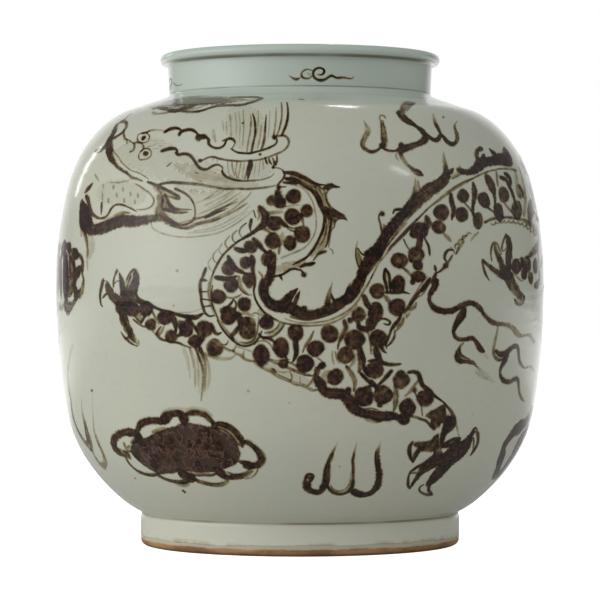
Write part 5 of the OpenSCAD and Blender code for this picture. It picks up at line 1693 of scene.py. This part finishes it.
CLOUD_EDGE = [
    line([4.8, 5.8, 5.8, 5.4, 4], 0.94, -188, 227.5, -187.6, 219, -187.5, 209, -188, 201, -188.3, 197.5),
    line([3, 3.8, 3.6, 2.6], 0.85, -191.5, 227, -191.7, 215, -191.5, 205, -191.3, 197.5),
    line([3, 5, 5, 4, 2.4], 0.72, -184.3, 226.5, -182.7, 218, -182.6, 208.5, -185, 202, -187, 198.7),
    line([1.4, 2, 2.2, 2], 0.82, -184, 228.5, -181, 222.3, -180.3, 217.5, -180.6, 211, -181.2, 205.5,
         -180.5, 202.5),
    line([1.6, 2.4, 4, 4.6, 3.8, 2.2, 1.4], [0.8, 0.9, 0.93, 0.85, 0.65], -190.7, 229, -190.7, 233.3,
         -189, 236.2, -187, 237.2, -184.8, 235.7, -184.6, 232.5, -185, 229.3),
    line(2, 0.5, -189.6, 229.3, -187.5, 229.8, -185.7, 229),
    line(1.4, 0.4, -191.8, 238.6, -192, 235),
    line([2.4, 4, 5, 4], [0.65, 0.85, 0.97, 0.95], -184.3, 233.7, -182, 233, -179.6, 230.9, -177.9, 229.2),
    line([1.8, 2, 2.4, 2], 0.78, -178.3, 231.6, -175.4, 228.5, -174, 224, -174, 219.5, -174.6, 215.5),
    line(1.4, 0.5, -184, 230, -181.3, 227, -180, 222.3),
    line([2.6, 3.4, 3, 2.4], 0.93, -175, 220.6, -178, 217.7, -178.4, 214, -176, 215.6),
    dot(-176.9, 218, 2, 0.75),
    line([1.4, 1.6, 1.8, 2.8, 4, 4], [0.75, 0.6, 0.58, 0.55, 0.75], -174.6, 215.5, -173.3, 211,
         -173.8, 206.7, -174.4, 203, -176.3, 199.3, -179, 197.6),
    line([1.8, 2, 2.6, 3.6, 4, 2.6], [0.8, 0.78, 0.93, 0.97, 0.8], -178.7, 213.5, -180, 209.3,
         -180.8, 205.3, -180, 202.3, -178, 200.6, -175.7, 202.3),
    line([3.4, 4], 0.93, -179.7, 200, -179.3, 196.6),
    line([2, 2, 2.8, 4.4, 4, 2], 0.85, -179.5, 196.7, -181, 192.6, -183, 189.7, -185.3, 188, -187, 186.2,
         -186.9, 184.3),
    line([2, 2.8, 2], 0.9, -188.3, 198.5, -187.4, 195.5, -186.3, 192),
    line(2.6, 0.75, -188.5, 190.6, -187.3, 186.8),
    line(2, 0.4, -193, 190.4, -191.6, 187.6, -189.7, 190),
    line(3, 0.3, -187, 190.7, -183.3, 192.5),
]
LEFT_FLAMES = [
    line([1.6, 1.4, 1.3, 1.3, 1.2, 1.3, 1.4, 1.4, 1.5, 1.8, 1.6, 1.6, 1.8, 1.8, 2.4, 2.8],
         [0.12, 0.15, 0.2, 0.3, 0.3, 0.35, 0.45, 0.55, 0.65, 0.75, 0.7, 0.7, 0.75, 0.7, 0.65, 0.6],
         -182, 158, -184, 152, -185.3, 146, -186, 140, -186, 133, -185.4, 126, -184.6, 120, -183.4, 113,
         -182.8, 107, -181.8, 101, -180.2, 96, -178.4, 91, -176, 86.4, -173.6, 82.6, -171.4, 79.6,
         -169.3, 76.9),
    line([0.9, 1, 1.2, 1.8, 2.4, 2.4, 2.2, 1.6], [0.1, 0.25, 0.45, 0.65, 0.72, 0.75, 0.65, 0.6], -175, 115,
         -174.8, 108, -174, 102, -172.5, 96.3, -171.2, 91, -170.2, 86, -169.9, 82.3, -170.4, 79.5),
    line(1.6, [0.35, 0.5, 0.6, 0.6], -169, 87, -168.1, 82.6, -167.3, 78, -167.2, 75, -168.3, 73.9),
    dot(-169.2, 80.3, 1.9, 0.42),
    line([0.8, 0.9, 1, 1.1, 1.4, 1.6, 1.6, 1.6, 2.2, 3, 2.8, 1.8, 1.6, 1.4, 1.4],
         [0.06, 0.1, 0.2, 0.3, 0.5, 0.6, 0.6, 0.6, 0.5, 0.55, 0.6, 0.55, 0.45, 0.4], -166, 120, -166.3, 110,
         -165.8, 100, -165.2, 92, -163.5, 85, -161, 78.5, -158.4, 72.5, -156.8, 68, -156.1, 65,
         -156.5, 62.6, -158, 61.6, -160.5, 63.6, -163, 67, -165.4, 71.3, -166.9, 75),
    dot(-166.7, 122, 0.9, 0.75),
]
FLAMES_FOOT = [
    line([3, 3, 2.6, 2, 2.4, 2.8, 4, 5.4, 4.8, 4.4, 4.4, 4.8, 5], [0.8, 0.85, 0.9, 0.88, 0.9, 0.97, 0.95],
         8, 51.5, 10.3, 52.3, 9.8, 54.2, 7.2, 54.9, 5, 53.2, 4.2, 50, 4, 47, 5.3, 44, 8, 41.8, 11.5, 40.6,
         14.6, 40.4, 17.5, 42, 19.8, 44.6),
    dot(6.2, 46.5, 2.7, 0.97), dot(7.4, 52.6, 2.2, 0.68),
    line([3, 2.4], 0.85, 9.6, 51.6, 7.4, 48.3),
    line([6, 6, 5, 4.4, 3.6, 3, 2.8, 2, 1.2, 0.8],
         [0.97, 0.97, 0.95, 0.87, 0.86, 0.85, 0.75, 0.6, 0.3, 0.12], 18.3, 44, 20.3, 47.3, 20.8, 52,
         21.1, 57, 21.9, 61, 23.1, 65, 24.7, 69, 27, 74, 28.7, 77.5, 30.4, 81.8),
    line([1.4, 1.8, 1.4], 0.97, 19.2, 48.5, 20, 56, 21.3, 62, 23, 66.3),
    line(2.4, 0.62, 23.6, 61.5, 23.5, 55.5, 23.4, 49.5),
    line(2, 0.3, 26.6, 72, 25.8, 65.5),
    line([2.6, 2.8, 2.6, 2.6, 2.2, 2.4, 3, 3, 2.4, 2.4, 2.4, 2.4, 2, 1.6, 1.2, 0.8],
         [0.8, 0.85, 0.85, 0.87, 0.85, 0.88, 0.93, 0.87, 0.82, 0.8, 0.8, 0.83, 0.7, 0.4, 0.22, 0.1],
         22.5, 44.7, 24.5, 42, 27.5, 40, 31.2, 38.9, 35, 39.4, 38.5, 41.3, 41, 44, 42.3, 47.7, 42.5, 52,
         42.5, 57, 42.5, 62, 42.3, 66, 43, 70, 43.8, 74, 45, 78, 45.5, 83),
    line(1.3, [0.5, 0.55, 0.5, 0.5, 0.4, 0.3], 24.7, 46, 25.9, 43.6, 29, 41.8, 33, 41.5, 36.5, 43, 39, 46.2,
         40.2, 50, 40.4, 56),
    line([3.4, 6, 5.6, 4.2, 4, 4.2, 4.8, 5, 4.8, 4.4, 4, 3.6, 2.8, 1.4, 0.8],
         [0.93, 0.97, 0.97, 0.97, 0.95, 0.95, 0.97, 0.96, 0.95, 0.93, 0.87, 0.8, 0.6, 0.25, 0.1], 40.5, 43,
         43.3, 40.7, 47, 39.1, 51, 38.4, 55.2, 39.1, 59, 41.6, 61.8, 45, 63.2, 50, 63.5, 55, 62.8, 60,
         62.1, 65, 61.9, 70, 62.4, 74.5, 64, 78.3, 65.1, 83),
    line(1.4, 0.95, 60.7, 73, 60.4, 66.5, 60.9, 60),
    dot(31.7, 61, 0.7, 0.35),
]
COLLAR = [
    line([0.9, 1.2, 2.4, 2.4, 1.4], [0.3, 0.6, 0.6, 0.6], -9, 374, -7, 372.6, -4.5, 371.3, -2, 371,
         0.3, 372.3),
    line([1.2, 1.6, 1.6, 2, 1.6, 1.4, 1.8, 1.4], [0.6, 0.75, 0.82, 0.87, 0.72, 0.62, 0.62, 0.7], 9.2, 373,
         7, 371.7, 4, 371.7, 1.6, 373, 1.2, 375.4, 2.9, 377.8, 6, 379, 9.7, 378),
    line(1.3, 0.28, 6, 376, 8, 374.6, 9, 373),
    line([1.2, 1.8, 2, 2, 1.8, 1.8, 1.8, 2, 2, 1.8, 2, 2.4, 2, 1.8, 2, 1.8, 1.8, 2, 1.6, 1.5, 1.6, 0.8],
         [0.6, 0.85, 0.92, 0.97, 0.92, 0.9, 0.88, 0.9, 0.9, 0.83, 0.87, 0.95, 0.82, 0.78, 0.8, 0.8, 0.83,
         0.85, 0.8, 0.72, 0.62, 0.3], 14, 375, 16.2, 374.5, 18.5, 375.3, 19.4, 377.6, 18, 379.4,
         15.4, 380.1, 12.5, 379.1, 10.8, 377.2, 10.5, 375, 11.4, 372.6, 14, 370.7, 17.1, 370.2, 20, 370.9,
         22.5, 372.5, 25, 373.9, 27.5, 373, 29.6, 372.1, 33, 372.3, 36.5, 372.1, 39, 371.5, 42, 371.8,
         43.5, 373.6),
    line(0.9, 0.75, -104.5, 364, -104.7, 367, -104.3, 370, -103.6, 371.5, -102.7, 370, -102.7, 367.5,
         -103.5, 366.3),
    line(1.2, 0.7, -104.5, 361.3, -104, 363.5, -103, 365),
    line(0.9, 0.35, -101.5, 368.3, -100, 366.8, -98, 366, -96, 366.4, -94, 367.3),
]

# The far side, which the photo doesn't show: the body runs on to a tail, with the same clouds and flames

def placed(*numbers):
    """Angle and outline length of spots given as degrees round the jar and heights in mm."""
    spots = np.reshape(numbers, (-1, 2)).astype(float)
    return np.column_stack([np.radians(spots[:, 0]), height_to_t(spots[:, 1])])


TAIL_PATH = placed(76, 280, 90, 274, 104, 260, 116, 244, 130, 233, 144, 233, 157, 243, 169, 258, 182, 267,
                   196, 265, 208, 254, 218, 241, 228, 233, 238, 233)
# Half widths of the tail in mm, spread evenly along it
TAIL_HALF = [22, 22, 21.5, 21, 20, 18.5, 17, 15, 13, 11, 9, 7, 5, 2.5]
# Reach in mm, to both sides of a place on the tail, over which its way is taken
TAIL_REACH = 2
# Spots of a brush line along the tail
TAIL_SPOTS = 26
tail_fine = smooth_line(TAIL_PATH)[0]
tail_along = lengths(surface(tail_fine[:, 0], tail_fine[:, 1], 0))
tail_long = tail_along[-1]


def tail_middle(along):
    return np.interp(along, tail_along, tail_fine[:, 0]), np.interp(along, tail_along, tail_fine[:, 1])


def tail_half(along):
    return spread(TAIL_HALF, along / tail_long)


def by_tail(along, aside):
    """Spots on the tail: mm along it, and a share of its half width to the side of its spine."""
    a, t = tail_middle(along)
    before_a, before_t = tail_middle(along - TAIL_REACH)
    after_a, after_t = tail_middle(along + TAIL_REACH)
    ahead_a = (after_a - before_a) * radius(t)
    ahead_t = after_t - before_t
    size = np.hypot(ahead_a, ahead_t)
    half = tail_half(along)
    return np.stack([a - ahead_t / size * aside * half / radius(t), t + ahead_a / size * aside * half], -1)


def tail_line(width, tone, aside, start=0.0, end=1.0):
    """A brush line along the tail, between two shares of its length."""
    return line(width, tone, spots=by_tail(np.linspace(start, end, TAIL_SPOTS) * tail_long, aside))


TAIL = [
    tail_line([7, 7.5, 7, 7, 6, 5, 4, 2.5], [0.9, 0.95], 1),
    tail_line([1.6, 1.4, 1.2], 0.6, 0.72, 0, 0.9),
    tail_line([2, 2, 1.6], 0.8, -0.8, 0, 0.95),
    tail_line([1.4, 1.4, 1.2], 0.55, -1, 0.02, 0.97),
]
# Scales, each a dab with a short line, singly and in pairs by turns
SCALE_TURN = np.arange(0, 6.2, 0.8)
for number, along in enumerate(np.arange(6, tail_long - 30, 9.5)):
    half = float(tail_half(along))
    for row in (0.4, -0.42) if number % 2 else (0.0,):
        scale = by_tail(along + 0.27 * half * np.cos(SCALE_TURN), row + 0.3 * np.sin(SCALE_TURN))
        under = by_tail(np.array([0.3, 0.55]) * half + along, np.array([row, row - 0.2]))
        TAIL += [blob(0.95, spots=scale), line([2, 1.4], 0.75, spots=under)]
# Fins on the spine, which rise 11 mm over it, and then the cross lines of the belly
for along in np.arange(12, tail_long - 20, 21):
    rise = 1 + 11 / float(tail_half(along))
    fin = by_tail(along + np.array([0, 2, 6]), np.array([1, 0.4 + 0.6 * rise, rise]))
    TAIL.append(line([5, 3, 1], [0.85, 0.7, 0.5], spots=fin))
for along in np.arange(8, 0.9 * tail_long, 7):
    cross = by_tail(np.array([along, along + 0.8]), np.array([-0.82, -1]))
    TAIL.append(line([1.2, 1.2], 0.5, spots=cross))
LEG_ROOT = [
    line([2.4, 2, 2], 0.7, spots=placed(88, 229, 93, 231, 98, 238, 102, 248)),
    line([2.2, 2, 2], 0.7, spots=placed(86, 205, 93, 206, 101, 212, 108, 222, 112, 232)),
    blob(0.9, spots=placed(92, 224, 94, 220, 93, 214, 90.5, 212, 89.5, 218)),
    blob(0.9, spots=placed(97, 230, 99.5, 227, 99, 221, 96, 219, 94.8, 225)),
    blob(0.9, spots=placed(103, 240, 105.5, 236, 105, 229, 102, 227, 100.8, 234)),
]
TAIL_TIP = [
    line([3, 6, 4, 1], [0.85, 0.7, 0.5], spots=placed(237, 233, 243, 240, 249, 244, 255, 243)),
    line([3, 5, 3, 1], [0.85, 0.7, 0.5], spots=placed(237, 232, 244, 231, 250, 227, 254, 220)),
    line([2, 4, 2, 1], [0.85, 0.7, 0.5], spots=placed(236, 234, 239, 246, 245, 253, 252, 255)),
]

paint({
    "dragon_tail": TAIL + TAIL_TIP,
    "back_right_leg": LEG_ROOT,
    "back_hind_leg": turned(HINDLEG, 122, 62),
    "back_clouds": turned(CLOUD_LEFT, 158, 8) + turned(CLOUD_LEFT, 197, 20, True),
    "edge_cloud_halves": turned(CLOUD_RIGHT, 160, 0, True) + turned(CLOUD_EDGE, -153, 0, True),
    "back_shoulder_cloud": turned(COLLAR_CLOUD, 190),
    "back_flames": (turned(FLAMES_FOOT, 196, 30) + turned(FLAME_TOP, 80, -4)
                    + turned(FLAME_TOP, 175, 0, True)),
    "back_right_flames": turned(FLAMES, 150, 60, True),
    "back_scrolls": turned(COLLAR[:4], 92) + turned(COLLAR[:4], 181),
    "dragon_head": HEAD_WASH + HEAD,
    "dragon_hair": HAIR,
    "dragon_jaw": JAW,
    "dragon_mane": MANE,
    "shoulder_clouds": COLLAR_CLOUD,
    "dragon_neck": NECK_WASH + NECK + NECK_DOTS,
    "dragon_crest": FIN_WASH + CREST,
    "shoulder_flames": FLAME_TOP,
    "dragon_flank": BODY_RIGHT + BODY_MIDDLE,
    "dragon_belly": LOWER_BELLY,
    "elbow_tufts": TUFT,
    "dragon_foreleg": FORELEG,
    "dragon_hind_leg": HINDLEG,
    "dragon_right_foot": RIGHT_FOOT,
    "right_flames": FLAMES,
    "right_cloud": CLOUD_RIGHT,
    "left_cloud": CLOUD_LEFT,
    "edge_cloud": CLOUD_EDGE,
    "left_flames": LEFT_FLAMES,
    "foot_flames": FLAMES_FOOT,
    "collar_scrolls": COLLAR,
}, PAINT)


# Floor, background, lights and camera

WHITE = (1, 1, 1, 1)
# Half side of the floor in metres, its white to the camera and its grey in other light
FLOOR_HALF = 6.0
FLOOR_GLOW = 0.93
FLOOR_GREY = (0.82, 0.82, 0.82, 1)
# Where reflections turn to white behind the jar: metres on the floor, and Y of a way into the sky
WHITE_FLOOR = (0.3, 1.5)
WHITE_SKY = (0.72, 0.97)


def ray_kinds(n):
    """Whether a ray is the camera's own, and whether the glaze mirrored it or let it through."""
    path = n.add("LightPath").outputs
    return path["Is Camera Ray"], n.math("MAXIMUM", path["Is Glossy Ray"], path["Is Transmission Ray"])


def floor():
    """A floor that the camera sees as white."""
    corners = [(x * FLOOR_HALF, y * FLOOR_HALF, 0) for x, y in ((-1, -1), (1, -1), (1, 1), (-1, 1))]
    mesh = bpy.data.meshes.new("floor")
    mesh.from_pydata(corners, [], [(0, 1, 2, 3)])
    obj = bpy.data.objects.new("floor", mesh)
    bpy.context.scene.collection.objects.link(obj)
    material, n, shader = new_material("pale_floor")
    n.tree.nodes.clear()
    camera_ray, mirrored = ray_kinds(n)
    behind = n.ramp(n.axes()["Y"], *WHITE_FLOOR)
    glow = n.add("Emission")
    glow.inputs["Color"].default_value = WHITE
    seen = n.math("MAXIMUM", camera_ray, n.times(mirrored, behind))
    n.put(glow.inputs["Strength"], n.times(seen, FLOOR_GLOW))
    matt = n.add("BsdfDiffuse")
    matt.inputs["Color"].default_value = FLOOR_GREY
    both = n.add("AddShader")
    n.link(glow.outputs[0], both.inputs[0])
    n.link(matt.outputs[0], both.inputs[1])
    n.link(both.outputs[0], n.add("OutputMaterial").inputs["Surface"])
    mesh.materials.append(material)


# Soft sources of the studio: angle round the jar from the front, angle up, strength and narrowness
SOFTBOXES = (
    (-140, 0, 0.12, 6),
    (-95, 0, 0.3, 6),
    (-66, -3, 4.3, 6),
    (-30, 0, 0.3, 6),
    (85, 0, 0.45, 6),
    (112, 0, 0.12, 6),
    (-45, 38, 0.75, 6),
    (45, 38, 0.65, 6),
    (90, 38, 0.42, 6),
    (180, 38, 0.5, 6),
)
# Light from every side, between the soft sources
AMBIENT = 0.02


def world():
    """White behind the jar, as the camera and reflections see it, and soft light from all round."""
    scene = bpy.context.scene
    scene.world = bpy.data.worlds.new("studio")
    scene.world.use_nodes = True
    n = Nodes(scene.world.node_tree)
    n.tree.nodes.clear()
    towards = n.add("TexCoord").outputs["Generated"]
    glow = AMBIENT
    for turn, up, strength, narrow in SOFTBOXES:
        turn, up = math.radians(turn), math.radians(up)
        level = math.cos(up)
        facing = n.add("VectorMath", operation="DOT_PRODUCT")
        n.link(towards, facing.inputs[0])
        facing.inputs[1].default_value = (math.sin(turn) * level, -math.cos(turn) * level, math.sin(up))
        lobe = n.math("POWER", n.math("MAXIMUM", facing.outputs["Value"], 0.0), narrow)
        glow = n.math("ADD", glow, n.times(lobe, strength))
    camera_ray, mirrored = ray_kinds(n)
    behind = n.ramp(n.axes(towards)["Y"], *WHITE_SKY)
    glow = n.math("MAXIMUM", glow, n.times(behind, mirrored))
    back = n.add("Background")
    back.inputs["Color"].default_value = WHITE
    n.link(n.math("MAXIMUM", glow, camera_ray), back.inputs["Strength"])
    n.link(back.outputs[0], n.add("OutputWorld").inputs["Surface"])


def lamp(name, place, aim, size, power, roll=0.0):
    """A rectangular lamp, with places and sizes in metres and the power in watts."""
    data = bpy.data.lights.new(name, "AREA")
    data.shape = "RECTANGLE"
    data.size, data.size_y = size
    data.energy = power
    obj = bpy.data.objects.new(name, data)
    bpy.context.scene.collection.objects.link(obj)
    obj.location = place
    turn = (Vector(aim) - Vector(place)).to_track_quat("-Z", "Y")
    obj.rotation_euler = (turn @ Quaternion((0, 0, 1), math.radians(roll))).to_euler()


floor()
world()
lamp("right_rim", place=(0.22, 0.62, 1.6), aim=(0, 0, 0.36), size=(0.16, 0.05), power=0.9)
lamp("streak", place=(1.1, -0.85, 1.12), aim=(0, 0, 0.3), size=(0.02, 0.26), power=0.9, roll=45)
lamp("left_edge", place=(-1.5, 1.7, 0.93), aim=(-0.164, -0.07, 0.306), size=(0.1, 0.6), power=1.6)

camera_data = bpy.data.cameras.new("camera")
camera_data.sensor_width = SENSOR
camera_data.lens = LENS
camera = bpy.data.objects.new("camera", camera_data)
bpy.context.scene.collection.objects.link(camera)
camera.location = (0, -CAMERA_DISTANCE * MM, CAMERA_HEIGHT * MM)
camera.rotation_euler = (math.pi / 2, 0, 0)
bpy.context.scene.camera = camera
bpy.context.scene.view_settings.view_transform = "Standard"

bpy.context.view_layer.update()
